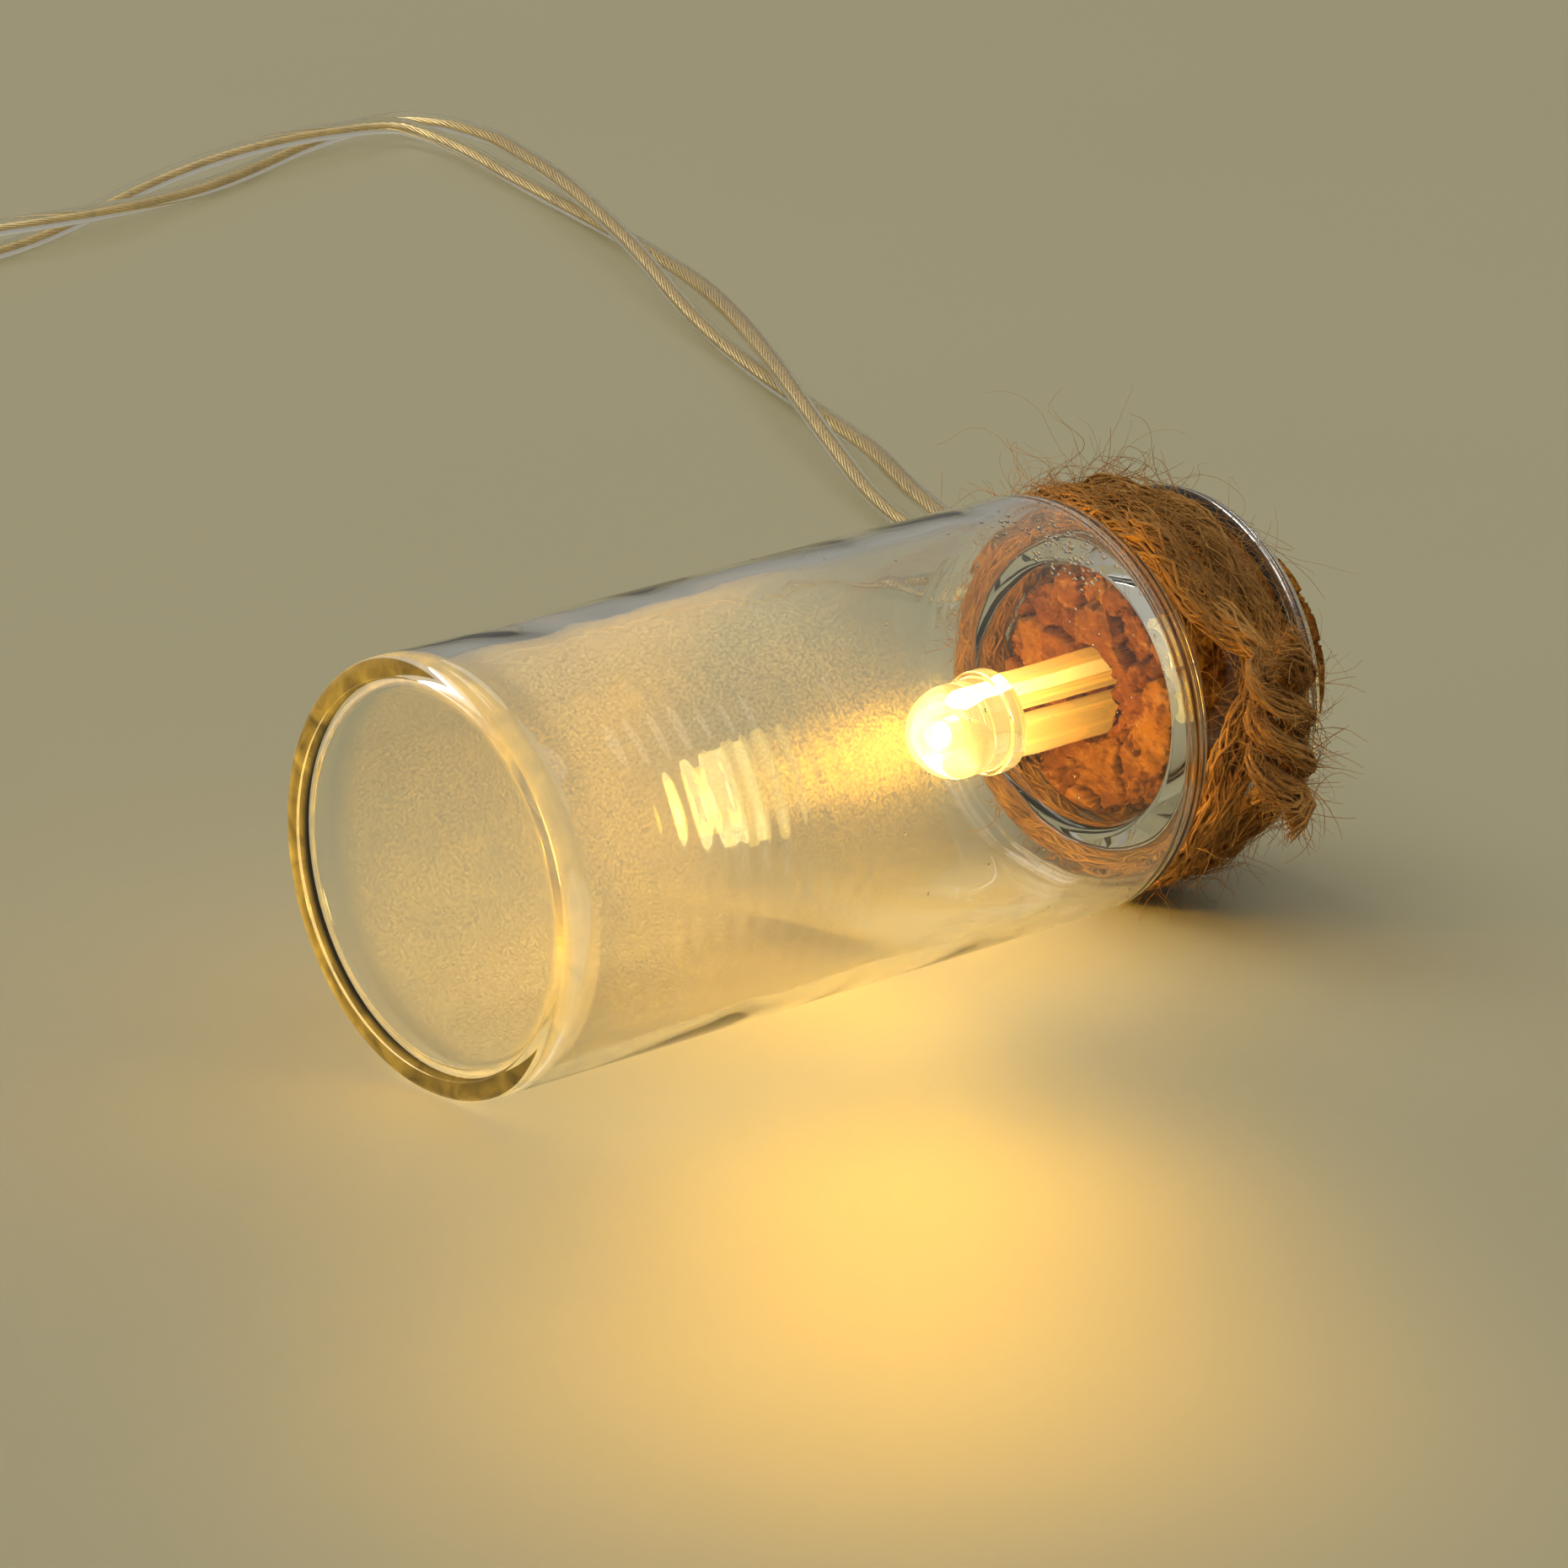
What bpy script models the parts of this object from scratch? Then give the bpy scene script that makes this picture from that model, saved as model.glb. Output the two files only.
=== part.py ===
# Fairy light jar: a small glass jar closed by a cork, with one LED on a two-wire lead inside it,
# jute twine tied round its neck, and the lead's box for two AA cells. Metres, +Z up.
# The jar lies on its side along X, cork towards +X. The origin is on the table, under the
# middle of the corked jar with its twine.

import math

import bmesh
import bpy
import numpy as np
from mathutils import Matrix, Vector

mm = 0.001
gap = 0.3 * mm  # left between pieces that touch

# Glass jar, from its base towards its mouth
jar_diameter = 22.0 * mm
jar_wall = 0.9 * mm
jar_floor = 0.9 * mm
base_edge_radius = 0.5 * mm
floor_corner_radius = 1.0 * mm
side_length = 40.3 * mm
shoulder_length = 2.7 * mm
neck_diameter = 16.0 * mm
neck_length = 6.4 * mm
neck_fillet = 0.3 * mm
lip_diameter = 19.2 * mm
lip_thickness = 1.9 * mm
mouth_round = 0.5 * mm
bore_diameter = 13.7 * mm
bore_taper = 0.02
jar_sides = 40

# Cork
cork_depth = 8.3 * mm
cork_head = 3.1 * mm
cork_chamfer = 0.5 * mm
wire_hole_diameter = 1.8 * mm

# LED, its two leads and the clear sleeve on each lead
led_standoff = 6.5 * mm
led_diameter = 4.8 * mm
led_side_length = 1.7 * mm
led_flange_diameter = 5.4 * mm
led_flange_thickness = 0.9 * mm
led_cavity_diameter = 3.7 * mm
led_tip_wall = 1.9 * mm
lead_spacing = 2.5 * mm
lead_thickness = 0.5 * mm
lead_length = 7.6 * mm
sleeve_diameter = 2.1 * mm
sleeve_bore = 1.1 * mm
sleeve_length = 9.7 * mm

# Twine
twine_diameter = 2.4 * mm
twine_spacing = 0.45 * mm
knot_strand_diameter = 1.5 * mm
knot_spacing = 0.7 * mm
knot_length = 6.8 * mm
knot_half_turns = 3
knot_leg_angle = 40
twine_shift_angle = 24
knot_angle = 5  # of the knot above the middle
twine_tail_length = 2.4 * mm
knot_offset = 1.3 * mm  # from midway between the turns towards the base

# Two-wire lead
wire_diameter = 1.2 * mm
pair_half_width = 1.1 * mm
pair_half_height = 0.78 * mm
straight_out = 1.6 * mm
point_spacing = 4.2 * mm

# Coil of the lead that is put away
coil_x, coil_y = 10.8 * mm, 130.2 * mm
coil_inner_radius = 10.5 * mm
coil_strand_gap = 0.45 * mm
coil_turns = 4.25
loop_points = 24
tie_thickness = 0.7 * mm
tie_width = 3.0 * mm
tie_end_length = 4.8 * mm
tie_angles = (20, 245)

# Battery box, its length along X and the lead at its +X end
box_x, box_y = -60.2 * mm, 90.2 * mm
box_floor = 1.6 * mm
box_end_wall = 1.6 * mm
box_side_wall = 2.2 * mm
box_divider = 1.5 * mm
box_corner_radius = 2.0 * mm
switch_bay_length = 11.3 * mm
rail_wall = 1.2 * mm
rail_lip = 1.0 * mm
rail_slot = 1.5 * mm
rail_lip_height = 0.9 * mm
door_tongue_thickness = 0.9 * mm
cell_diameter = 14.2 * mm
cell_length = 50.5 * mm
cell_nub_diameter = 5.4 * mm
cell_nub_length = 1.3 * mm
cell_spacing = 0.5 * mm
cell_headroom = 0.4 * mm
saddle_web = 0.4 * mm
saddle_height = 4.0 * mm
saddle_width = 1.4 * mm
contact_thickness = 0.5 * mm
contact_width = 9.0 * mm
contact_height = 10.5 * mm
dimple_height = 0.8 * mm
spring_length = 4.6 * mm
spring_wire = 0.7 * mm
spring_foot_radius = 4.6 * mm
spring_tip_radius = 2.8 * mm
spring_curls = 3.2
solder_tab_width = 2.6 * mm
solder_tab_length = 3.4 * mm
switch_length, switch_width, switch_height = 9.4 * mm, 4.4 * mm, 4.0 * mm
switch_travel = 3.0 * mm
knob_length, knob_width, knob_height = 3.2 * mm, 2.2 * mm, 1.7 * mm
pin_pitch = 2.5 * mm
pin_length = 2.6 * mm
relief_spacing = 2.2 * mm
relief_wall = 0.75 * mm
relief_length = 4.4 * mm
relief_flange = 0.9 * mm
relief_height = 4.6 * mm

# The lead from the cork to the coil: places of the pair's middle line along the table in
# millimetres, and the half turns by which the two wires have twisted there
lead_route = [
    (30.4, 2.5, 10.6, 0.60), (33.8, 5.4, 8.9, 0.75), (38.8, 14.2, 5.0, 1.10), (43.5, 26.2, 2.5, 1.60),
    (48.2, 42.2, 1.5, 2.20), (52.8, 56.6, 1.4, 2.72), (58.8, 68.7, 1.4, 3.05), (63.1, 77.7, 1.4, 3.30),
    (70.8, 94.4, 1.4, 3.73), (78.1, 109.9, 1.4, 4.15), (83.4, 123.5, 1.4, 4.42), (87.0, 134.7, 1.4, 4.65),
    (89.6, 144.7, 1.4, 4.87), (89.0, 151.2, 1.4, 5.02), (83.1, 151.8, 1.4, 5.20), (74.7, 150.0, 1.4, 5.50),
    (65.2, 147.2, 1.4, 5.85), (55.8, 144.4, 1.4, 6.20), (48.4, 143.5, 1.4, 6.50), (36.8, 144.4, 1.4, 7.10),
    (24.8, 146.8, 1.5, 7.70),
]
# The tail from the coil to the battery box
tail_route = [(-6.9, 121.5, 2.4), (-6.5, 112.0, 1.0), (-6.6, 102.5, 0.9), (-9.4, 94.6, 1.7), (-14.6, 90.7, 3.5)]

# Sizes that follow from those above
jar_radius = jar_diameter / 2
jar_inner_radius = jar_radius - jar_wall
neck_radius = neck_diameter / 2
lip_radius = lip_diameter / 2
shoulder_end = side_length + shoulder_length
lip_start = shoulder_end + neck_length
mouth = lip_start + lip_thickness
bore_start = shoulder_end - jar_wall
cork_inner = mouth - cork_depth
cork_outer = mouth + cork_head
led_back = cork_inner - led_standoff
sleeve_start = led_back + gap
sleeve_end = sleeve_start + sleeve_length
wire_start = sleeve_end + gap
wire_radius = wire_diameter / 2
twine_radius = twine_diameter / 2
wrap_radius = neck_radius + gap + twine_radius
first_turn = shoulder_end + gap + twine_radius
second_turn = first_turn + twine_diameter + twine_spacing
knot_radius = knot_strand_diameter / 2
knot_orbit = (knot_strand_diameter + knot_spacing) / 2
knot_height = wrap_radius + twine_radius + twine_spacing + knot_orbit + knot_radius
jar_x = -cork_outer / 2
axis_z = jar_radius * math.cos(math.pi / jar_sides)
strand_pitch = wire_diameter + coil_strand_gap
pair_pitch = 2 * strand_pitch
coil_outer_radius = coil_inner_radius + pair_pitch * coil_turns / 2
coil_low = gap + tie_thickness + gap + wire_radius
cell_radius = cell_diameter / 2
cell_pitch = cell_diameter + cell_spacing
cell_floor = box_floor + saddle_web + gap
cell_axis = cell_floor + cell_radius
bay_length = (2 * (gap + contact_thickness + gap) + spring_length + gap + cell_length + dimple_height)
bay_width = cell_pitch + cell_diameter + 2 * cell_spacing
box_length = 2 * box_end_wall + bay_length + box_divider + switch_bay_length
box_width = bay_width + 2 * box_side_wall
ledge = cell_floor + cell_diameter + cell_headroom
slot_top = ledge + rail_slot
box_height = slot_top + rail_lip_height
bay_start = -box_length / 2 + box_end_wall
bay_end = bay_start + bay_length
switch_bay_start = bay_end + box_divider
switch_bay_end = switch_bay_start + switch_bay_length
rail_half_width = box_width / 2 - rail_wall
lip_half_width = rail_half_width - rail_lip
deck_start = bay_end + box_divider / 2
switch_x = (switch_bay_start + switch_bay_end) / 2
switch_top = ledge - gap
switch_low = switch_top - switch_height
knob_rest = -switch_travel / 2
tab_z = cell_axis + contact_height / 2 - 2 * contact_thickness
tab_middle = switch_bay_start + solder_tab_length / 2
under_tab = contact_thickness / 2 + gap + wire_radius
relief_bore = wire_radius + 0.25 * mm
relief_radius = relief_bore + relief_wall


def clear_scene():
    for item in list(bpy.data.objects):
        bpy.data.objects.remove(item, do_unlink=True)


def material(name, color, roughness, metallic=0.0, transmission=0.0):
    made = bpy.data.materials.new(name)
    made.use_nodes = True
    made.diffuse_color = (*color, 1.0)
    shader = made.node_tree.nodes["Principled BSDF"]
    shader.inputs["Base Color"].default_value = (*color, 1.0)
    shader.inputs["Roughness"].default_value = roughness
    shader.inputs["Metallic"].default_value = metallic
    shader.inputs["Transmission Weight"].default_value = transmission
    return made


def place(name, data, finish, parent=None, location=(0, 0, 0)):
    """An object for one piece, with its material."""
    made = bpy.data.objects.new(name, data)
    bpy.context.scene.collection.objects.link(made)
    if finish:
        data.materials.append(finish)
    made.location = location
    made.parent = parent
    return made


def mesh_from(shape, name, smooth=True):
    """A mesh of the finished bmesh, with its faces pointing out."""
    bmesh.ops.remove_doubles(shape, verts=shape.verts, dist=0.002 * mm)
    bmesh.ops.recalc_face_normals(shape, faces=shape.faces)
    mesh = bpy.data.meshes.new(name)
    shape.to_mesh(mesh)
    shape.free()
    if smooth:
        mesh.shade_smooth()
        mesh.set_sharp_from_angle(angle=math.radians(35))
    return mesh


def arc(middle, radii, start, end, steps):
    """Points of an elliptic arc in a profile's plane; angles in degrees."""
    angles = [math.radians(start + (end - start) * i / steps) for i in range(steps + 1)]
    return [(middle[0] + radii[0] * math.cos(a), middle[1] + radii[1] * math.sin(a)) for a in angles]


def turned(profile, sides, name, offset=(0, 0), closed=False):
    """A profile of (along X, radius) turned about X, with a flat side underneath."""
    shape = bmesh.new()
    start = math.radians(-90) + math.pi / sides
    y, z = math.cos(start), math.sin(start)
    corners = [shape.verts.new((x, r * y, r * z)) for x, r in profile]
    edges = [shape.edges.new(pair) for pair in zip(corners, corners[1:])]
    if closed:
        edges.append(shape.edges.new((corners[-1], corners[0])))
    bmesh.ops.spin(shape, geom=corners + edges, cent=(0, 0, 0), axis=(1, 0, 0), angle=2 * math.pi,
                   steps=sides, use_merge=True)
    bmesh.ops.translate(shape, verts=shape.verts, vec=(0, *offset))
    return mesh_from(shape, name)


def prism(outline, direction, start, end, name):
    """An outline in the plane across `direction` (0, 1 or 2), drawn out along it."""
    shape = bmesh.new()
    across = [axis for axis in range(3) if axis != direction]
    corners = []
    for u, v in outline:
        point = [0.0, 0.0, 0.0]
        point[direction] = start
        point[across[0]], point[across[1]] = u, v
        corners.append(shape.verts.new(point))
    face = shape.faces.new(corners)
    drawn = bmesh.ops.extrude_face_region(shape, geom=[face])
    shift = [0.0, 0.0, 0.0]
    shift[direction] = end - start
    moved = [item for item in drawn["geom"] if isinstance(item, bmesh.types.BMVert)]
    bmesh.ops.translate(shape, verts=moved, vec=shift)
    return mesh_from(shape, name)


def lofted(sections, name, smooth=True):
    """A solid through closed sections that all have as many points."""
    shape = bmesh.new()
    rings = [[shape.verts.new(point) for point in section] for section in sections]
    for before, after in zip(rings, rings[1:]):
        for i in range(len(before)):
            j = (i + 1) % len(before)
            shape.faces.new((before[i], before[j], after[j], after[i]))
    shape.faces.new(rings[0])
    shape.faces.new(rings[-1])
    return mesh_from(shape, name, smooth)


def blocks(boxes, name):
    """Separate rectangular blocks in one mesh, each from its low corner to its high one."""
    shape = bmesh.new()
    for low, high in boxes:
        low, high = Vector(low), Vector(high)
        fit = Matrix.Translation((low + high) / 2) @ Matrix.Diagonal((*(high - low), 1.0))
        bmesh.ops.create_cube(shape, size=1.0, matrix=fit)
    return mesh_from(shape, name, False)


def box_outline(half_u, half_v, radius=0.0, middle=(0, 0), steps=3):
    """A rectangle with round corners."""
    if not radius:
        return [(middle[0] + u * half_u, middle[1] + v * half_v) for u, v in ((1, 1), (-1, 1), (-1, -1), (1, -1))]
    points = []
    for u, v, start in ((1, 1, 0), (-1, 1, 90), (-1, -1, 180), (1, -1, 270)):
        corner = (middle[0] + u * (half_u - radius), middle[1] + v * (half_v - radius))
        points += arc(corner, (radius, radius), start, start + 90, steps)
    return points


def slot_outline(half_spacing, radius, middle=(0, 0), steps=6, upright=False):
    """An obround round two centres that stand half_spacing each side of the middle."""
    right = arc((half_spacing, 0), (radius, radius), -90, 90, steps)
    left = arc((-half_spacing, 0), (radius, radius), 90, 270, steps)
    points = [(v, u) if upright else (u, v) for u, v in right + left]
    return [(middle[0] + u, middle[1] + v) for u, v in points]


def cutter(name, mesh, parent=None, location=(0, 0, 0)):
    made = place(name, mesh, None, parent, location)
    made.hide_render = True
    made.display_type = "WIRE"
    return made


def combine(piece, other, operation):
    step = piece.modifiers.new(other.name, "BOOLEAN")
    step.operation = operation
    step.object = other
    step.solver = "EXACT"


def through(rows, steps=16):
    """A smooth curve through rows of x, y, z and any further values."""
    rows = np.array(rows, float)
    rows = np.vstack([2 * rows[0] - rows[1], rows, 2 * rows[-1] - rows[-2]])
    curve = []
    for a, b, c, d in zip(rows, rows[1:], rows[2:], rows[3:]):
        knots = [0.0]
        for before, after in ((a, b), (b, c), (c, d)):
            knots.append(knots[-1] + math.sqrt(np.linalg.norm((after - before)[:3])))
        k0, k1, k2, k3 = knots
        for u in np.linspace(k1, k2, steps, endpoint=False):
            ab = ((k1 - u) * a + (u - k0) * b) / (k1 - k0)
            bc = ((k2 - u) * b + (u - k1) * c) / (k2 - k1)
            cd = ((k3 - u) * c + (u - k2) * d) / (k3 - k2)
            first = ((k2 - u) * ab + (u - k0) * bc) / (k2 - k0)
            second = ((k3 - u) * bc + (u - k1) * cd) / (k3 - k1)
            curve.append(((k2 - u) * first + (u - k1) * second) / (k2 - k1))
    curve.append(rows[-2])
    return np.array(curve)


def spaced(curve, spacing):
    """The curve's points again, evenly spaced along it."""
    steps = np.linalg.norm(np.diff(curve[:, :3], axis=0), axis=1)
    along = np.concatenate([[0.0], np.cumsum(steps)])
    count = max(2, round(along[-1] / spacing) + 1)
    stations = np.linspace(0, along[-1], count)
    return np.stack([np.interp(stations, along, column) for column in curve.T], axis=1)


def length_of(points):
    return float(np.linalg.norm(np.diff(np.array(points)[:, :3], axis=0), axis=1).sum())


def tube(name, points, radius, finish, resolution=2, parent=None, scales=None):
    """A round tube along the points, closed at both ends."""
    curve = bpy.data.curves.new(name, "CURVE")
    curve.dimensions = "3D"
    curve.bevel_depth = radius
    curve.bevel_resolution = resolution
    curve.use_fill_caps = True
    line = curve.splines.new("POLY")
    line.points.add(len(points) - 1)
    for index, (target, point) in enumerate(zip(line.points, points)):
        target.co = (*point[:3], 1.0)
        target.radius = scales[index] if scales is not None else 1.0
    return place(name, curve, finish, parent)


def least_gap(name, first, second=None):
    """Prints the least space between two tubes, or between one tube's own turns, measured on
    points of their middle lines. Rows of x, y, z and the tube's radius there."""
    step = 0.2 * mm
    lines = [spaced(np.array(rows, float), step) for rows in (first, first if second is None else second)]
    closest = np.inf
    for index, row in enumerate(lines[0]):
        beyond = 0 if second is not None else index + int(6 * row[3] / step)
        others = lines[1][beyond:]
        if len(others):
            space = np.linalg.norm(others[:, :3] - row[:3], axis=1) - others[:, 3] - row[3]
            closest = min(closest, space.min())
    print(f"{name}: least gap {closest / mm:.2f} mm")


def with_radius(points, radius):
    points = np.array(points, float)[:, :3]
    return np.hstack([points, np.full((len(points), 1), radius)])


def jar_profile():
    shoulder_foot = neck_radius + neck_fillet
    corner = floor_corner_radius
    bead = lip_thickness / 2
    bore_radius = bore_diameter / 2
    mouth_radius = bore_radius + bore_taper * (mouth - bore_start)
    outside = [(0, 0)]
    outside += arc((base_edge_radius, jar_radius - base_edge_radius), (base_edge_radius,) * 2, 180, 90, 3)
    outside += arc((side_length, shoulder_foot), (shoulder_length, jar_radius - shoulder_foot), 90, 0, 5)
    outside += arc((shoulder_end + neck_fillet, shoulder_foot), (neck_fillet,) * 2, 180, 270, 2)
    outside += arc((lip_start - neck_fillet, shoulder_foot), (neck_fillet,) * 2, 270, 360, 2)
    outside += arc((lip_start + bead, lip_radius - bead), (bead, bead), 180, 0, 6)
    inside = arc((mouth - mouth_round, mouth_radius + mouth_round), (mouth_round,) * 2, 0, -90, 3)
    inside += arc((bore_start + mouth_round, bore_radius + mouth_round), (mouth_round,) * 2, 270, 180, 2)
    inside += arc((side_length, shoulder_foot), (bore_start - side_length, jar_inner_radius - shoulder_foot), 0, 90, 4)
    inside += arc((jar_floor + corner, jar_inner_radius - corner), (corner, corner), 90, 180, 3)
    return outside + inside + [(jar_floor, 0)]


def cork_radius(x):
    """The cork's radius, which follows the bore's taper with a gap all round."""
    return bore_diameter / 2 + bore_taper * (x - bore_start) - gap


def twine_path():
    """The twine's middle line: a cut end, half the knot, two turns, the knot again, a cut end.
    Rows of along the jar, out of it, up, and the strand's radius; the knot faces -Y."""
    middle = (first_turn + second_turn) / 2 - knot_offset
    half = knot_length / 2

    def wrap(angle, x, radius=wrap_radius, strand=twine_radius):
        a = math.radians(angle)
        return (x, radius * math.cos(a), radius * math.sin(a), strand)

    def knot(height, turn):
        a = math.radians(turn)
        return (middle + knot_orbit * math.sin(a), knot_height + knot_orbit * math.cos(a), height, knot_radius)

    twist = 180 * knot_half_turns
    steps = 5 * knot_half_turns
    stations = [i / steps for i in range(steps + 1)]
    first = [knot(half * (2 * s - 1), 180 + twist * (1 - s)) for s in stations]
    last = [knot(half * (2 * s - 1), twist * (1 - s)) for s in stations]
    tail = twine_tail_length
    first_tail = [(middle - 0.70 * tail, knot_height + 0.9 * knot_orbit, -half - 0.55 * tail, twine_radius * 0.9),
                  (middle - 0.25 * tail, knot_height + 1.4 * knot_orbit, -half - 0.40 * tail, knot_radius)]
    last_tail = [(middle - 0.20 * tail, knot_height + 1.3 * knot_orbit, half + 0.40 * tail, knot_radius),
                 (middle - 0.65 * tail, knot_height + 0.8 * knot_orbit, half + 0.70 * tail, twine_radius * 0.9)]
    leg, shift = knot_leg_angle, twine_shift_angle
    lifted = (wrap_radius + 0.35 * twine_diameter, (twine_radius + knot_radius) / 2)
    step = 360 / loop_points
    turns = [wrap(leg - 0.75 * step, first_turn, *lifted)]
    angle = float(leg)
    while angle <= 720 - leg:
        part = min(max((angle - 360 + shift) / (2 * shift), 0.0), 1.0)
        part = part * part * (3 - 2 * part)
        turns.append(wrap(angle, first_turn + (second_turn - first_turn) * part))
        angle += step if abs(angle - 360) > leg else step / 3
    turns.append(wrap(720 - leg + 0.75 * step, second_turn, *lifted))
    c, s = math.cos(math.radians(knot_angle)), math.sin(math.radians(knot_angle))
    rows = first_tail + first + turns + last + last_tail
    return [(x, out * c - up * s, out * s + up * c, radius) for x, out, up, radius in rows]


def lead_lines(upper_exit, lower_exit):
    """The middle lines of the two wires from the cork to the coil."""
    route = [(x * mm, y * mm, z * mm, t) for x, y, z, t in lead_route]
    coil_entry = coil_point(0.0)
    route.append((coil_entry[0] + gap, coil_entry[1], coil_entry[2], 8.0))
    middle = spaced(through(route), 1.5 * mm)
    ahead = np.gradient(middle[:, :3], axis=0)
    left = np.cross([0.0, 0.0, 1.0], ahead)
    left /= np.linalg.norm(left, axis=1)[:, None]
    turn = math.pi * middle[:, 3]
    near_coil = np.clip((middle[:, 3] - 7.0), 0.0, 1.0)[:, None]
    half_width = pair_half_width + (strand_pitch / 2 - pair_half_width) * near_coil
    offset = left * half_width * np.cos(turn)[:, None]
    offset[:, 2] += pair_half_height * np.sin(turn)
    lines = []
    for exit_point, side in ((upper_exit, 1), (lower_exit, -1)):
        free = middle[:, :3] + side * offset
        start = Vector(exit_point)
        straight = [(wire_start + jar_x, start.y, start.z), tuple(start), tuple(start + Vector((straight_out, 0, 0)))]
        lines.append(spaced(through([*straight, *free[3::2], free[-1]], 8), point_spacing))
    return lines


def coil_point(part, side=0.0):
    """A point of the coil: part runs from 0 at its start to 1 at its end, and side is -1 on the
    inner wire, 0 between the two and 1 on the outer. It spirals in, climbs a layer and spirals out."""
    sweep = 2 * math.pi * coil_turns
    angle = math.pi / 2 + sweep * part
    from_middle = sweep * (part - 0.5)
    radius = coil_inner_radius + pair_pitch / (2 * math.pi) * abs(from_middle)
    radius += side * strand_pitch / 2
    climb = min(max(from_middle / math.pi + 0.5, 0.0), 1.0)
    climb = climb * climb * (3 - 2 * climb)
    return Vector((coil_x + radius * math.cos(angle), coil_y + radius * math.sin(angle),
                   coil_low + strand_pitch * climb))


def coil_line(side):
    """One wire of the coil, with a straight wire's width at each end."""
    count = round(coil_turns * loop_points)
    points = [coil_point(i / count, side) for i in range(count + 1)]
    first = (points[0] - points[1]).normalized() * wire_diameter
    last = (points[-1] - points[-2]).normalized() * wire_diameter
    return [points[0] + first, *points, points[-1] + last]


clear_scene()

glass = material("clear glass", (0.92, 0.93, 0.90), 0.03, transmission=1.0)
cork = material("cork", (0.52, 0.24, 0.09), 0.9)
epoxy = material("clear epoxy", (0.98, 0.90, 0.62), 0.1, transmission=0.8)
tinned = material("tinned steel", (0.72, 0.70, 0.66), 0.3, 1.0)
sleeve_finish = material("clear sleeve", (0.95, 0.86, 0.62), 0.25, transmission=0.6)
insulation = material("clear wire insulation", (0.74, 0.62, 0.42), 0.25, transmission=0.4)
jute = material("jute", (0.50, 0.31, 0.13), 0.95)
tie_finish = material("white tie", (0.86, 0.86, 0.83), 0.4)
case_finish = material("white box plastic", (0.87, 0.87, 0.85), 0.35)
knob_finish = material("black switch plastic", (0.03, 0.03, 0.03), 0.4)
cell_finish = material("cell wrapper", (0.10, 0.11, 0.12), 0.35, 0.3)
nickel = material("nickel strip", (0.75, 0.73, 0.68), 0.28, 1.0)
rubber = material("grey rubber", (0.55, 0.55, 0.53), 0.6)
red_wire = material("red wire", (0.55, 0.04, 0.03), 0.35)
resistor_finish = material("resistor lacquer", (0.66, 0.52, 0.34), 0.5)

# Where the jar's axis lies across the table follows from how far the twine's knot reaches
twine_rows = np.array(twine_path())
knot_reach = float((twine_rows[:, 1] + twine_rows[:, 3]).max())
axis_y = (knot_reach - axis_z) / 2
jar_axis = bpy.data.objects.new("jar_axis", None)
bpy.context.scene.collection.objects.link(jar_axis)
jar_axis.location = (jar_x, axis_y, axis_z)


def make_jar():
    place("glass_jar", turned(jar_profile(), jar_sides, "glass_jar"), glass, jar_axis)


def make_cork():
    inner, outer, edge = cork_radius(cork_inner), cork_radius(cork_outer), cork_chamfer
    profile = [(cork_inner, 0), (cork_inner, inner - edge), (cork_inner + edge, inner),
               (cork_outer - edge, outer), (cork_outer, outer - edge), (cork_outer, 0)]
    stopper = place("cork_stopper", turned(profile, 32, "cork_stopper"), cork, jar_axis)
    slot = slot_outline(lead_spacing / 2, sleeve_diameter / 2 + gap, upright=True)
    slot_end = wire_start
    combine(stopper, cutter("sleeve_slot", prism(slot, 0, cork_inner - 1 * mm, slot_end, "sleeve_slot"), jar_axis),
            "DIFFERENCE")
    for name, side in (("upper_wire_hole", 1), ("lower_wire_hole", -1)):
        hole = arc((0, side * lead_spacing / 2), (wire_hole_diameter / 2,) * 2, 0, 360, 12)[:-1]
        combine(stopper, cutter(name, prism(hole, 0, slot_end - 1 * mm, cork_outer + 1 * mm, name), jar_axis),
                "DIFFERENCE")


def make_led():
    radius, flange = led_diameter / 2, led_flange_diameter / 2
    cavity = led_cavity_diameter / 2
    side_start = led_back - led_flange_thickness - led_side_length
    tip = side_start - radius
    cavity_end = tip + led_tip_wall
    profile = arc((side_start, 0), (radius, radius), 180, 90, 6)
    profile += [(led_back - led_flange_thickness, radius), (led_back - led_flange_thickness, flange),
                (led_back, flange), (led_back, cavity), (cavity_end + gap, cavity), (cavity_end, cavity - gap),
                (cavity_end, 0)]
    place("led_lens", turned(profile, 24, "led_lens"), epoxy, jar_axis)
    half, out = lead_thickness / 2, lead_spacing / 2
    end = led_back + lead_length
    flag_start, flag_end = cavity_end + gap, led_back - led_flange_thickness
    anvil = [(end, -out - half), (flag_start + gap, -out - half), (flag_start, -out), (flag_start, -half),
             (flag_start + 0.4 * mm, -half / 2), (flag_start + 0.4 * mm, half / 2), (flag_start, half),
             (flag_start + gap, 2 * half), (flag_end, -half), (flag_end + gap, -out + half), (end, -out + half)]
    post = [(end, out + half), (flag_start + gap, out + half), (flag_start, out), (flag_start, out - half),
            (flag_start + 2 * gap, out - 2 * half), (flag_end, out - half), (end, out - half)]
    place("led_anvil", prism(anvil, 1, -half, half, "led_anvil"), tinned, jar_axis)
    place("led_post", prism(post, 1, -half, half, "led_post"), tinned, jar_axis)
    for name, side in (("sleeve_upper", 1), ("sleeve_lower", -1)):
        wall = [(sleeve_start, sleeve_bore / 2), (sleeve_start, sleeve_diameter / 2),
                (sleeve_end, sleeve_diameter / 2), (sleeve_end, sleeve_bore / 2)]
        place(name, turned(wall, 14, name, (0, side * lead_spacing / 2), closed=True), sleeve_finish, jar_axis)


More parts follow.
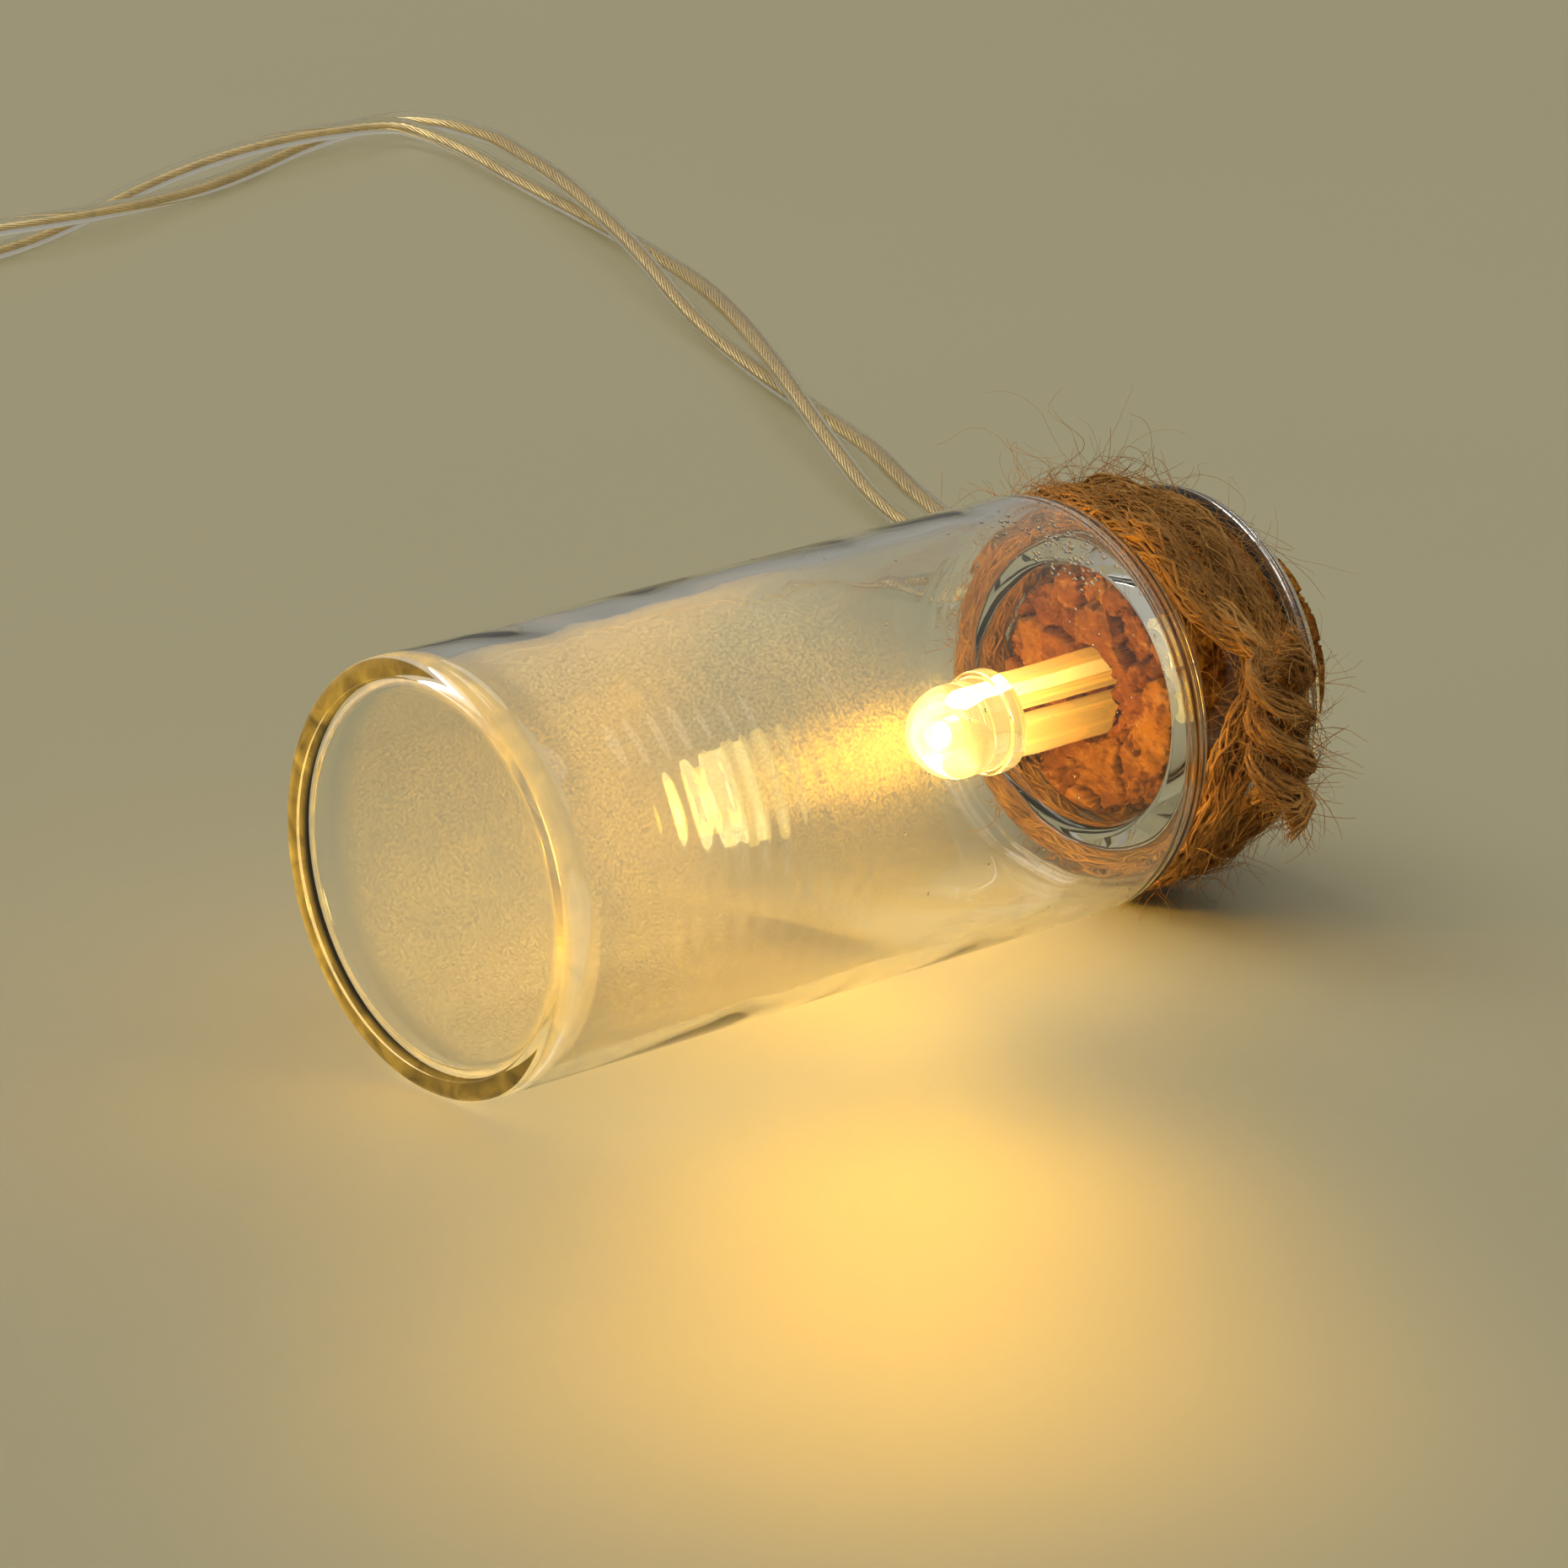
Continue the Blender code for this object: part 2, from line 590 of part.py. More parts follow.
def make_twine():
    points = through([(x, -out, up, r) for x, out, up, r in twine_rows], 2)
    least_gap("twine", points)
    tube("twine_wrap", points, twine_radius, jute, 1, jar_axis, points[:, 3] / twine_radius)


def make_lead():
    exits = [(cork_outer + jar_x, axis_y, axis_z + side * lead_spacing / 2) for side in (1, -1)]
    runs = lead_lines(*exits)
    coils = [coil_line(-1), coil_line(1)]
    case_end = box_x + box_length / 2
    for letter, side, run, coil in zip("ab", (-1, 1), runs, coils):
        start = np.array(coil[0])
        run[-1, :3] = start + (run[-2, :3] - start) / np.linalg.norm(run[-2, :3] - start) * gap
        tube(f"wire_run_{letter}", run, wire_radius, insulation)
        tube(f"wire_coil_{letter}", coil, wire_radius, insulation, 1)
        leave = coil[-1] + (coil[-1] - coil[-2]).normalized() * gap
        rows = [tuple(leave), tuple(leave + (coil[-1] - coil[-2]).normalized() * wire_diameter)]
        middle = through([(coil_x - coil_outer_radius, coil_y, coil_low + strand_pitch),
                          *[(x * mm, y * mm, z * mm) for x, y, z in tail_route],
                          (case_end + relief_length, box_y, relief_height)])
        ahead = np.gradient(middle, axis=0)
        right = np.cross(ahead, [0.0, 0.0, 1.0])
        right /= np.linalg.norm(right, axis=1)[:, None]
        spread = np.linspace(strand_pitch, relief_spacing, len(middle))[:, None] / 2
        beside = middle + side * right * spread
        rows += [tuple(point) for point in beside[20:-8:10]]
        y = box_y + side * relief_spacing / 2
        held = [(case_end + x, y, relief_height) for x in (relief_length + 1 * mm, -box_end_wall - relief_flange - 1 * mm)]
        if side < 0:
            inside = [(box_x + switch_x + 1.6 * mm, y - 1.0 * mm, relief_height - 1.3 * mm)]
        else:
            inside = [(box_x + switch_x + 1.5 * mm, y + 1.8 * mm, relief_height + 2.0 * mm),
                      (box_x + tab_middle, box_y + cell_pitch / 2, tab_z - under_tab)]
        smooth = through([*rows, *held, *inside])
        tail = [tuple(point) for point in spaced(smooth[:16 * len(rows) + 1], point_spacing)]
        tail += held[1:] + [tuple(point) for point in spaced(smooth[16 * (len(rows) + 1):], point_spacing)[1:]]
        tube(f"wire_tail_{letter}", tail, wire_radius, insulation)
        least_gap(f"wire coil {letter}", with_radius(coil, wire_radius))
        total = length_of(run) + length_of(coil) + length_of(tail)
        print(f"wire {letter}: {total / mm:.0f} mm long, {len(run)} + {len(tail)} points where it isn't coiled")
    least_gap("the two wires in the coil", *(with_radius(coil, wire_radius) for coil in coils))
    least_gap("the two wires of the run", *(with_radius(run, wire_radius) for run in runs))


def make_ties():
    """A flat twist tie round the coil's bundle at two places, with its twisted end standing out."""
    inner = coil_inner_radius - strand_pitch / 2 - wire_radius - gap
    outer = coil_outer_radius + strand_pitch / 2 + wire_radius + gap
    low = coil_low - wire_radius - gap
    high = coil_low + strand_pitch + wire_radius + gap
    middle = ((inner + outer) / 2, (low + high) / 2)
    for name, angle in zip(("coil_tie_near", "coil_tie_far"), tie_angles):
        turn = Matrix.Rotation(math.radians(angle), 4, "Z")
        shape = bmesh.new()
        rings = []
        for y in (-tie_width / 2, tie_width / 2):
            for grow in (tie_thickness, 0.0):
                line = box_outline((outer - inner) / 2 + grow, (high - low) / 2 + grow, 1.0 * mm + grow, middle)
                rings.append([shape.verts.new((u, y, v)) for u, v in line])
        count = len(rings[0])
        for a, b in ((0, 1), (1, 3), (3, 2), (2, 0)):
            for i in range(count):
                j = (i + 1) % count
                shape.faces.new((rings[a][i], rings[a][j], rings[b][j], rings[b][i]))
        tie = place(name, mesh_from(shape, name), tie_finish)
        tie.location = (coil_x, coil_y, 0)
        tie.rotation_euler = turn.to_euler()
        ends = bmesh.new()
        sections = []
        for i in range(9):
            a = math.radians(60 * i)
            u = outer + tie_thickness * 0.5 + tie_end_length * i / 8
            section = []
            for along, across in ((1, 1), (-1, 1), (-1, -1), (1, -1)):
                p, q = along * tie_width * 0.3, across * tie_thickness * 0.8
                section.append(ends.verts.new((u, p * math.cos(a) - q * math.sin(a),
                                               middle[1] + p * math.sin(a) + q * math.cos(a))))
            sections.append(section)
        for before, after in zip(sections, sections[1:]):
            for i in range(4):
                j = (i + 1) % 4
                ends.faces.new((before[i], before[j], after[j], after[i]))
        ends.faces.new(sections[0])
        ends.faces.new(sections[-1])
        twisted = cutter(f"{name}_ends", mesh_from(ends, f"{name}_ends", False))
        twisted.location = tie.location
        twisted.rotation_euler = tie.rotation_euler
        combine(tie, twisted, "UNION")



def make_case(box):
    """The moulded tray with its cell saddles, sliding rails, switch bay and deck."""
    half_length, half_width = box_length / 2, box_width / 2
    chamfer = 0.6 * mm
    sections = []
    for z, inset in ((0, chamfer), (chamfer, 0), (box_height, 0)):
        line = box_outline(half_length - inset, half_width - inset, box_corner_radius - inset / 2)
        sections.append([(u, v, z) for u, v in line])
    case = place("battery_case", lofted(sections, "battery_case"), case_finish, box)
    bay_half, past = bay_width / 2, 1 * mm
    saddle_top = box_floor + saddle_height
    saddles = [bay_start + bay_length * share for share in (0.2, 0.5, 0.8)]
    bay = [(bay_end, ledge + past), (bay_start, ledge + past), (bay_start, box_floor)]
    for x in saddles:
        bay += [(x - saddle_width / 2, box_floor), (x - saddle_width / 2, saddle_top),
                (x + saddle_width / 2, saddle_top), (x + saddle_width / 2, box_floor)]
    bay.append((bay_end, box_floor))
    cuts = {
        "cell_bay": prism(bay, 1, -bay_half, bay_half, "cell_bay"),
        "switch_bay": blocks([((switch_bay_start, -bay_half, box_floor), (switch_bay_end, bay_half, ledge))],
                             "switch_bay"),
        "rail_slot": blocks([((-half_length - past, -rail_half_width, ledge), (deck_start, rail_half_width, slot_top))],
                            "rail_slot"),
        "lid_opening": blocks([((-half_length - past, -lip_half_width, ledge + past),
                                (deck_start, lip_half_width, box_height + past))], "lid_opening"),
    }
    knob_half = knob_length / 2 + gap
    cuts["knob_slot"] = blocks([((switch_x - knob_width / 2 - gap, knob_rest - knob_half, ledge - past),
                                 (switch_x + knob_width / 2 + gap, knob_rest + switch_travel + knob_half,
                                  box_height + past))], "knob_slot")
    tab_half, thick = solder_tab_width / 2 + gap, contact_thickness / 2 + gap
    cuts["tab_slots"] = blocks([((bay_end - past, side * cell_pitch / 2 - tab_half, tab_z - thick),
                                 (switch_bay_start + past, side * cell_pitch / 2 + tab_half, tab_z + thick))
                                for side in (-1, 1)], "tab_slots")
    hole = slot_outline(relief_spacing / 2, relief_radius + gap, (0, relief_height))
    cuts["lead_hole"] = prism(hole, 0, switch_bay_end - past, half_length + past, "lead_hole")
    for name, side in (("channel_a", -1), ("channel_b", 1)):
        round_cut = arc((side * cell_pitch / 2, cell_axis), (cell_radius + gap,) * 2, 0, 360, 32)[:-1]
        cuts[name] = prism(round_cut, 0, saddles[0] - saddle_width, saddles[-1] + saddle_width, name)
    for name, mesh in cuts.items():
        combine(case, cutter(name, mesh, box), "DIFFERENCE")


def make_door(box):
    """The lid, whose tongues run in the case's rails, with finger grooves near its free end."""
    tongue, panel = rail_half_width - gap, lip_half_width - gap
    low, step, high = ledge + gap, ledge + gap + door_tongue_thickness, box_height
    edge = 0.3 * mm
    outline = [(-tongue, low), (tongue, low), (tongue, step), (panel, step), (panel, high - edge),
               (panel - edge, high), (edge - panel, high), (-panel, high - edge), (-panel, step), (-tongue, step)]
    start, end = -box_length / 2, deck_start - gap
    door = place("battery_door", prism(outline, 0, 0, end - start, "battery_door"), case_finish, box, (start, 0, 0))
    groove, pitch, depth, first = 0.8 * mm, 1.8 * mm, 0.6 * mm, 5 * mm
    grooves = [((first + pitch * i, -panel * 0.55, high - depth), (first + pitch * i + groove, panel * 0.55, high + edge))
               for i in range(6)]
    combine(door, cutter("finger_grooves", blocks(grooves, "finger_grooves"), box, (start, 0, 0)), "DIFFERENCE")


def make_cells(box):
    r, nub = cell_radius, cell_nub_diameter / 2
    can = cell_length - cell_nub_length
    rim, step = 0.6 * mm, 0.3 * mm
    profile = [(0, 0), (0, 0.66 * r), (step, 0.70 * r), (step, r - 2 * rim), (0, r - rim), (step, r), (can - step, r),
               (can, r - step), (can, r - 2 * rim), (can - step, r - 3 * rim), (can - step, nub + rim), (can, nub),
               (cell_length - step, nub), (cell_length, nub - step), (cell_length, 0)]
    near = bay_start + gap + contact_thickness + gap + spring_length + gap
    far = bay_end - (near - bay_start)
    for name, side, x, turn in (("cell_a", -1, near, 0), ("cell_b", 1, far, math.pi)):
        cell = place(name, turned(profile, 24, name), cell_finish, box, (x, side * cell_pitch / 2, cell_axis))
        cell.rotation_euler = (0, 0, turn)


def make_contacts(box):
    """The bridge at the far end, the two solder-tab plates at the lead's end, and their springs."""
    half_pitch = cell_pitch / 2
    round_corner = 1.5 * mm
    bulge = [(-contact_thickness / 2, 0), (-contact_thickness / 2, 0.55 * contact_width / 2),
             (0, 0.55 * contact_width / 2), (dimple_height * 0.7, 0.40 * contact_width / 2),
             (dimple_height, 0.28 * contact_width / 2), (dimple_height, 0)]

    def plate(name, x, middle, half_width, dimple_y, facing):
        line = box_outline(half_width, contact_height / 2, round_corner, (middle, cell_axis))
        made = place(name, prism(line, 0, x, x + contact_thickness, name), nickel, box)
        if dimple_y is not None:
            face = x + (contact_thickness if facing > 0 else 0)
            button = cutter(f"{name}_dimple", turned(bulge, 16, f"{name}_dimple"), box, (face, dimple_y, cell_axis))
            button.rotation_euler = (0, 0, 0 if facing > 0 else math.pi)
            combine(made, button, "UNION")
        return made

    near, far = bay_start + gap, bay_end - gap - contact_thickness
    plate("bridge_plate", near, 0, half_pitch + contact_width / 2, half_pitch, 1)
    for name, side, dimple in (("positive_plate", -1, -half_pitch), ("negative_plate", 1, None)):
        made = plate(name, far, side * half_pitch, contact_width / 2, dimple, -1)
        tab = blocks([((far + contact_thickness / 2, side * half_pitch - solder_tab_width / 2, tab_z - contact_thickness / 2),
                       (switch_bay_start + solder_tab_length, side * half_pitch + solder_tab_width / 2,
                        tab_z + contact_thickness / 2))], f"{name}_tab")
        combine(made, cutter(f"{name}_tab", tab, box), "UNION")
    curl_points = 10
    count = round(spring_curls * curl_points)
    line = []
    for i in range(count + 1):
        part = i / count
        angle = 2 * math.pi * spring_curls * part
        radius = spring_foot_radius + (spring_tip_radius - spring_foot_radius) * part
        along = spring_wire / 2 + (spring_length - spring_wire) * part
        line.append(Vector((along, radius * math.cos(angle), radius * math.sin(angle))))
    line.insert(0, line[0] + (line[0] - line[1]).normalized() * spring_wire)
    line.append(line[-1] + (line[-1] - line[-2]).normalized() * spring_wire)
    least_gap("contact spring", with_radius(line, spring_wire / 2))
    for name, side, x, turn in (("spring_a", -1, near + contact_thickness + gap, 0), ("spring_b", 1, far - gap, math.pi)):
        spring = tube(name, line, spring_wire / 2, tinned, 1, box)
        spring.location = (x, side * half_pitch, cell_axis)
        spring.rotation_euler = (0, 0, turn)


def make_switch(box):
    """The slide switch under the deck, its three pins, and the knob that stands through the deck."""
    foot_length, foot_width, foot_height = knob_length + 1.0 * mm, knob_width + 0.4 * mm, 1.2 * mm
    depth = foot_height + 2 * gap
    body = place("switch_body", blocks([((-switch_width / 2, -switch_length / 2, switch_low),
                                         (switch_width / 2, switch_length / 2, switch_top))], "switch_body"),
                 knob_finish, box, (switch_x, 0, 0))
    recess = blocks([((-foot_width / 2 - gap, knob_rest - foot_length / 2 - gap, switch_top - depth),
                      (foot_width / 2 + gap, knob_rest + switch_travel + foot_length / 2 + gap, switch_top + 1 * mm))],
                    "switch_recess")
    combine(body, cutter("switch_recess", recess, box, (switch_x, 0, 0)), "DIFFERENCE")
    foot_low = switch_top - depth + gap
    knob = place("switch_knob", blocks([((-foot_width / 2, -foot_length / 2, foot_low),
                                         (foot_width / 2, foot_length / 2, foot_low + foot_height))], "switch_knob"),
                 knob_finish, box, (switch_x, knob_rest, 0))
    top = box_height + knob_height
    stem = [(-knob_length / 2, foot_low + foot_height / 2), (knob_length / 2, foot_low + foot_height / 2)]
    ribs = 4
    for i in range(ribs):
        for share, rise in ((0.0, -0.35 * mm), (0.25, 0.0), (0.75, 0.0)):
            stem.append((knob_length / 2 - knob_length * (i + share) / ribs, top + rise))
    stem.append((-knob_length / 2, top - 0.35 * mm))
    stem_mesh = prism(stem, 0, -knob_width / 2, knob_width / 2, "knob_stem")
    combine(knob, cutter("knob_stem", stem_mesh, box, (switch_x, knob_rest, 0)), "UNION")
    pin_top = switch_low - gap
    for name, place_y in (("switch_pin_a", -pin_pitch), ("switch_pin_b", 0), ("switch_pin_c", pin_pitch)):
        pin = blocks([((-0.2 * mm, -0.3 * mm, pin_top - pin_length), (0.2 * mm, 0.3 * mm, pin_top))], name)
        place(name, pin, tinned, box, (switch_x, place_y, 0))
    pin_foot = pin_top - pin_length
    link = [(tab_middle, -cell_pitch / 2, tab_z - under_tab), (tab_middle + 0.3 * mm, -cell_pitch / 2 + 2 * mm,
            tab_z - under_tab - 1.6 * mm), (switch_x - 1.9 * mm, -2.0 * mm, pin_foot - 1.2 * mm),
            (switch_x, 0, pin_foot - gap - wire_radius)]
    tube("switch_link", spaced(through(link), 1.4 * mm), wire_radius, red_wire, 2, box)
    lead, body_radius, body_length, total = 0.25 * mm, 0.9 * mm, 3.6 * mm, pin_foot - gap - box_floor - 1.2 * mm
    a, b = (total - body_length) / 2, (total + body_length) / 2
    bead = 0.5 * mm
    profile = [(0, 0), (0, lead), (a, lead), (a + 0.2 * mm, body_radius), (a + 2 * bead, body_radius),
               (a + 2 * bead + 0.2 * mm, 0.8 * body_radius), (b - 2 * bead - 0.2 * mm, 0.8 * body_radius),
               (b - 2 * bead, body_radius), (b - 0.2 * mm, body_radius), (b, lead), (total, lead), (total, 0)]
    resistor = place("resistor", turned(profile, 12, "resistor"), resistor_finish, box,
                     (switch_x, -pin_pitch, pin_foot - gap))
    resistor.rotation_euler = (0, math.pi / 2, 0)


def make_relief(box):
    """The rubber bush round the lead: a flange inside the wall, a collar outside and a taper."""
    wall_in, wall_out, tip = switch_bay_end, box_length / 2, box_length / 2 + relief_length
    flange, collar = 0.7 * mm, 0.5 * mm
    stations = [(wall_in - gap - relief_flange, flange), (wall_in - gap, flange), (wall_in - gap, 0),
                (wall_out + gap, 0), (wall_out + gap, collar), (wall_out + 1.2 * mm, collar),
                (wall_out + 1.2 * mm, 0), (tip, -0.35 * mm)]
    sections = []
    for x, grow in stations:
        line = slot_outline(relief_spacing / 2, relief_radius + grow, (0, relief_height))
        sections.append([(x, y, z) for y, z in line])
    relief = place("strain_relief", lofted(sections, "strain_relief"), rubber, box)
    for name, side in (("relief_bore_a", -1), ("relief_bore_b", 1)):
        hole = arc((side * relief_spacing / 2, relief_height), (relief_bore,) * 2, 0, 360, 12)[:-1]
        bore = prism(hole, 0, wall_in - 2 * mm, tip + 1 * mm, name)
        combine(relief, cutter(name, bore, box), "DIFFERENCE")


battery_box = bpy.data.objects.new("battery_box", None)
bpy.context.scene.collection.objects.link(battery_box)
battery_box.location = (box_x, box_y, 0)
for make in (make_case, make_door, make_cells, make_contacts, make_switch, make_relief):
    make(battery_box)
make_jar()
make_cork()
make_led()
make_twine()
make_lead()
make_ties()
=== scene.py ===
import math
import random

import bpy
import numpy as np
from mathutils import Matrix, Vector, noise


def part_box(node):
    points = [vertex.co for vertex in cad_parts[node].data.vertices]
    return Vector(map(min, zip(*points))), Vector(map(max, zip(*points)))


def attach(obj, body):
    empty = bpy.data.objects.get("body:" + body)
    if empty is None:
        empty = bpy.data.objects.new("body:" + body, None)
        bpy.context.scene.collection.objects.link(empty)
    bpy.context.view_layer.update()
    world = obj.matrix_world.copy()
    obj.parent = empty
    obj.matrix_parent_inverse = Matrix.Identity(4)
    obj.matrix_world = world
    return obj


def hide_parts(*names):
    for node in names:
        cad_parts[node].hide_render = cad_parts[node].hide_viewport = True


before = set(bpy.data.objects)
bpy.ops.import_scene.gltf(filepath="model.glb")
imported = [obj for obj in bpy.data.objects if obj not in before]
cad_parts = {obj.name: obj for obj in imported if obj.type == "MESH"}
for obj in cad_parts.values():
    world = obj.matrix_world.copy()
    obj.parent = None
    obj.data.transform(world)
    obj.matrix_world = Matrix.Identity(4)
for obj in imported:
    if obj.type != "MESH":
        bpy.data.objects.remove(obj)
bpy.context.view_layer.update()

mm = 0.001
jarLow, jarHigh = (Vector(corner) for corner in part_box("glass_jar"))
boxLow, boxHigh = (Vector(corner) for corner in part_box("battery_case"))
base = jarLow.x
axisY, axisZ = (jarLow.y + jarHigh.y) / 2, (jarLow.z + jarHigh.z) / 2
boxX, boxY = (boxLow.x + boxHigh.x) / 2, (boxLow.y + boxHigh.y) / 2


def deselect():
    if bpy.context.mode != "OBJECT":
        bpy.ops.object.mode_set(mode="OBJECT")
    bpy.ops.object.select_all(action="DESELECT")


def only(piece):
    deselect()
    piece.select_set(True)
    bpy.context.view_layer.objects.active = piece


def finishPiece(piece, body, material=None, stands=()):
    if material:
        piece.data.materials.clear()
        piece.data.materials.append(material)
    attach(piece, body)
    if stands:
        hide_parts(*stands)
    return piece


def arcPoints(middle, radii, start, end, steps):
    angles = [math.radians(start + (end - start) * i / steps) for i in range(steps + 1)]
    return [(middle[0] + radii[0] * math.cos(a), middle[1] + radii[1] * math.sin(a)) for a in angles]


# A profile of (along X, radius) is spun about the jar's axis or another line along X
def spunPiece(name, profile, steps=96, offset=(0.0, 0.0), smooth=40):
    deselect()
    y, z = axisY + offset[0], axisZ + offset[1]
    mesh = bpy.data.meshes.new(name)
    mesh.from_pydata([(base + x, y + r, z) for x, r in profile],
                     [(i, i + 1) for i in range(len(profile) - 1)], [])
    piece = bpy.data.objects.new(name, mesh)
    bpy.context.scene.collection.objects.link(piece)
    only(piece)
    bpy.ops.object.mode_set(mode="EDIT")
    bpy.ops.mesh.select_all(action="SELECT")
    bpy.ops.mesh.spin(steps=steps, angle=2 * math.pi, center=(base, y, z), axis=(1, 0, 0))
    bpy.ops.mesh.select_all(action="SELECT")
    bpy.ops.mesh.remove_doubles(threshold=0.003 * mm)
    bpy.ops.mesh.normals_make_consistent(inside=False)
    bpy.ops.object.mode_set(mode="OBJECT")
    bpy.ops.object.shade_smooth_by_angle(angle=math.radians(smooth))
    return piece


# Many thin tubes in one piece; each line is (points, radius or radii, material index)
def strandPiece(name, lines, roundness=0):
    curve = bpy.data.curves.new(name, "CURVE")
    curve.dimensions = "3D"
    curve.bevel_depth = 1.0
    curve.bevel_resolution = roundness
    curve.use_fill_caps = True
    for points, radius, index in lines:
        spline = curve.splines.new("POLY")
        spline.points.add(len(points) - 1)
        radii = np.broadcast_to(radius, len(points))
        flat = np.hstack([np.array(points), np.ones((len(points), 1))]).ravel()
        spline.points.foreach_set("co", flat)
        spline.points.foreach_set("radius", radii)
        spline.material_index = index
        spline.use_smooth = True
    piece = bpy.data.objects.new(name, curve)
    bpy.context.scene.collection.objects.link(piece)
    return piece


def asMesh(piece):
    only(piece)
    bpy.ops.object.convert(target="MESH")
    return bpy.context.view_layer.objects.active


# A smooth curve through rows of numbers, the first three of them a place
def through(rows, steps=16):
    rows = np.array(rows, float)
    rows = np.vstack([2 * rows[0] - rows[1], rows, 2 * rows[-1] - rows[-2]])
    curve = []
    for a, b, c, d in zip(rows, rows[1:], rows[2:], rows[3:]):
        knots = [0.0]
        for before, after in ((a, b), (b, c), (c, d)):
            knots.append(knots[-1] + math.sqrt(np.linalg.norm((after - before)[:3])))
        k0, k1, k2, k3 = knots
        for u in np.linspace(k1, k2, steps, endpoint=False):
            ab = ((k1 - u) * a + (u - k0) * b) / (k1 - k0)
            bc = ((k2 - u) * b + (u - k1) * c) / (k2 - k1)
            cd = ((k3 - u) * c + (u - k2) * d) / (k3 - k2)
            first = ((k2 - u) * ab + (u - k0) * bc) / (k2 - k0)
            second = ((k3 - u) * bc + (u - k1) * cd) / (k3 - k1)
            curve.append(((k2 - u) * first + (u - k1) * second) / (k2 - k1))
    curve.append(rows[-2])
    return np.array(curve)


def along(curve):
    steps = np.linalg.norm(np.diff(curve[:, :3], axis=0), axis=1)
    return np.concatenate([[0.0], np.cumsum(steps)])


# The same curve with its points one spacing apart
def evenly(curve, spacing):
    run = along(curve)
    stations = np.linspace(0, run[-1], max(2, round(run[-1] / spacing) + 1))
    return np.stack([np.interp(stations, run, column) for column in curve.T], axis=1)


# Two directions square to the line that turn with it as little as they can
def sideways(points):
    ahead = np.gradient(points, axis=0)
    ahead /= np.linalg.norm(ahead, axis=1)[:, None]
    side = np.cross(ahead[0], (0.3, 0.5, 0.81))
    sides = [side / np.linalg.norm(side)]
    for direction in ahead[1:]:
        side = sides[-1] - direction * np.dot(sides[-1], direction)
        sides.append(side / np.linalg.norm(side))
    sides = np.array(sides)
    return ahead, sides, np.cross(ahead, sides)


cameraView = {"place": (-0.237546, -0.265112, 0.132305), "pitch": 0.330135, "yaw": 0.717104, "lens": 173.45}
cameraData = bpy.data.cameras.new("photo_camera")
cameraData.lens = cameraView["lens"]
cameraData.sensor_width = 36
cameraData.clip_start = 0.02
cameraData.clip_end = 20
camera = bpy.data.objects.new("photo_camera", cameraData)
camera.location = cameraView["place"]
camera.rotation_euler = (math.pi / 2 - cameraView["pitch"], 0, -cameraView["yaw"])
bpy.context.scene.collection.objects.link(camera)
bpy.context.scene.camera = camera
print("camera placed")


# The lead's two wires, which run from the cork round the coil into the box
lead = {
    "wire": 1.2 * mm, "strand": 0.10 * mm, "strandPitch": 5.0 * mm,
    "exitSpacing": 2.5 * mm, "straightOut": 1.6 * mm, "wireStart": 46.8 * mm, "corkEnd": 54.4 * mm,
    "pairHalfWidth": 1.1 * mm, "pairHalfHeight": 0.78 * mm, "spacing": 0.8 * mm,
    "coilX": 10.8 * mm, "coilY": 130.2 * mm, "coilRadius": 10.5 * mm, "coilPitch": 1.65 * mm,
    "coilTurns": 4.25, "coilLow": 1.9 * mm, "coilPoints": 72, "closing": 7.0,
    "bushEnd": 41.6 * mm, "bushHeight": 4.6 * mm, "bushSpacing": 2.2 * mm, "caseEnd": 37.2 * mm,
    "insideBush": -3.5 * mm, "switchX": 29.95 * mm, "tabX": 26.0 * mm, "tabY": 7.35 * mm, "tabZ": 12.5 * mm,
}
# Where the pair runs, in mm, and how many half turns it has made about itself by there; from lead["closing"]
# on it closes up to the coil's pitch
leadRoute = [
    (30.4, 2.5, 10.6, 0.60), (33.8, 5.4, 8.9, 0.75), (38.8, 14.2, 5.0, 1.10), (43.5, 26.2, 2.5, 1.60),
    (48.2, 42.2, 1.5, 2.20), (52.8, 56.6, 1.4, 2.72), (58.8, 68.7, 1.4, 3.05), (63.1, 77.7, 1.4, 3.30),
    (70.8, 94.4, 1.4, 3.73), (78.1, 109.9, 1.4, 4.15), (83.4, 123.5, 1.4, 4.42), (87.0, 134.7, 1.4, 4.65),
    (89.6, 144.7, 1.4, 4.87), (89.0, 151.2, 1.4, 5.02), (83.1, 151.8, 1.4, 5.20), (74.7, 150.0, 1.4, 5.50),
    (65.2, 147.2, 1.4, 5.85), (55.8, 144.4, 1.4, 6.20), (48.4, 143.5, 1.4, 6.50), (36.8, 144.4, 1.4, 7.10),
    (24.8, 146.8, 1.5, 7.70),
]
tailRoute = [(-6.9, 121.5, 2.4), (-6.5, 112.0, 1.0), (-6.6, 102.5, 0.9), (-9.4, 94.6, 1.7), (-14.6, 90.7, 3.5)]


def coilPoint(part, side=0.0):
    sweep = 2 * math.pi * lead["coilTurns"]
    angle = math.pi / 2 + sweep * part
    fromMiddle = sweep * (part - 0.5)
    radius = lead["coilRadius"] + lead["coilPitch"] / math.pi * abs(fromMiddle) + side * lead["coilPitch"] / 2
    climb = min(max(fromMiddle / math.pi + 0.5, 0.0), 1.0)
    climb = climb * climb * (3 - 2 * climb)
    return np.array((lead["coilX"] + radius * math.cos(angle), lead["coilY"] + radius * math.sin(angle),
                     lead["coilLow"] + lead["coilPitch"] * climb))


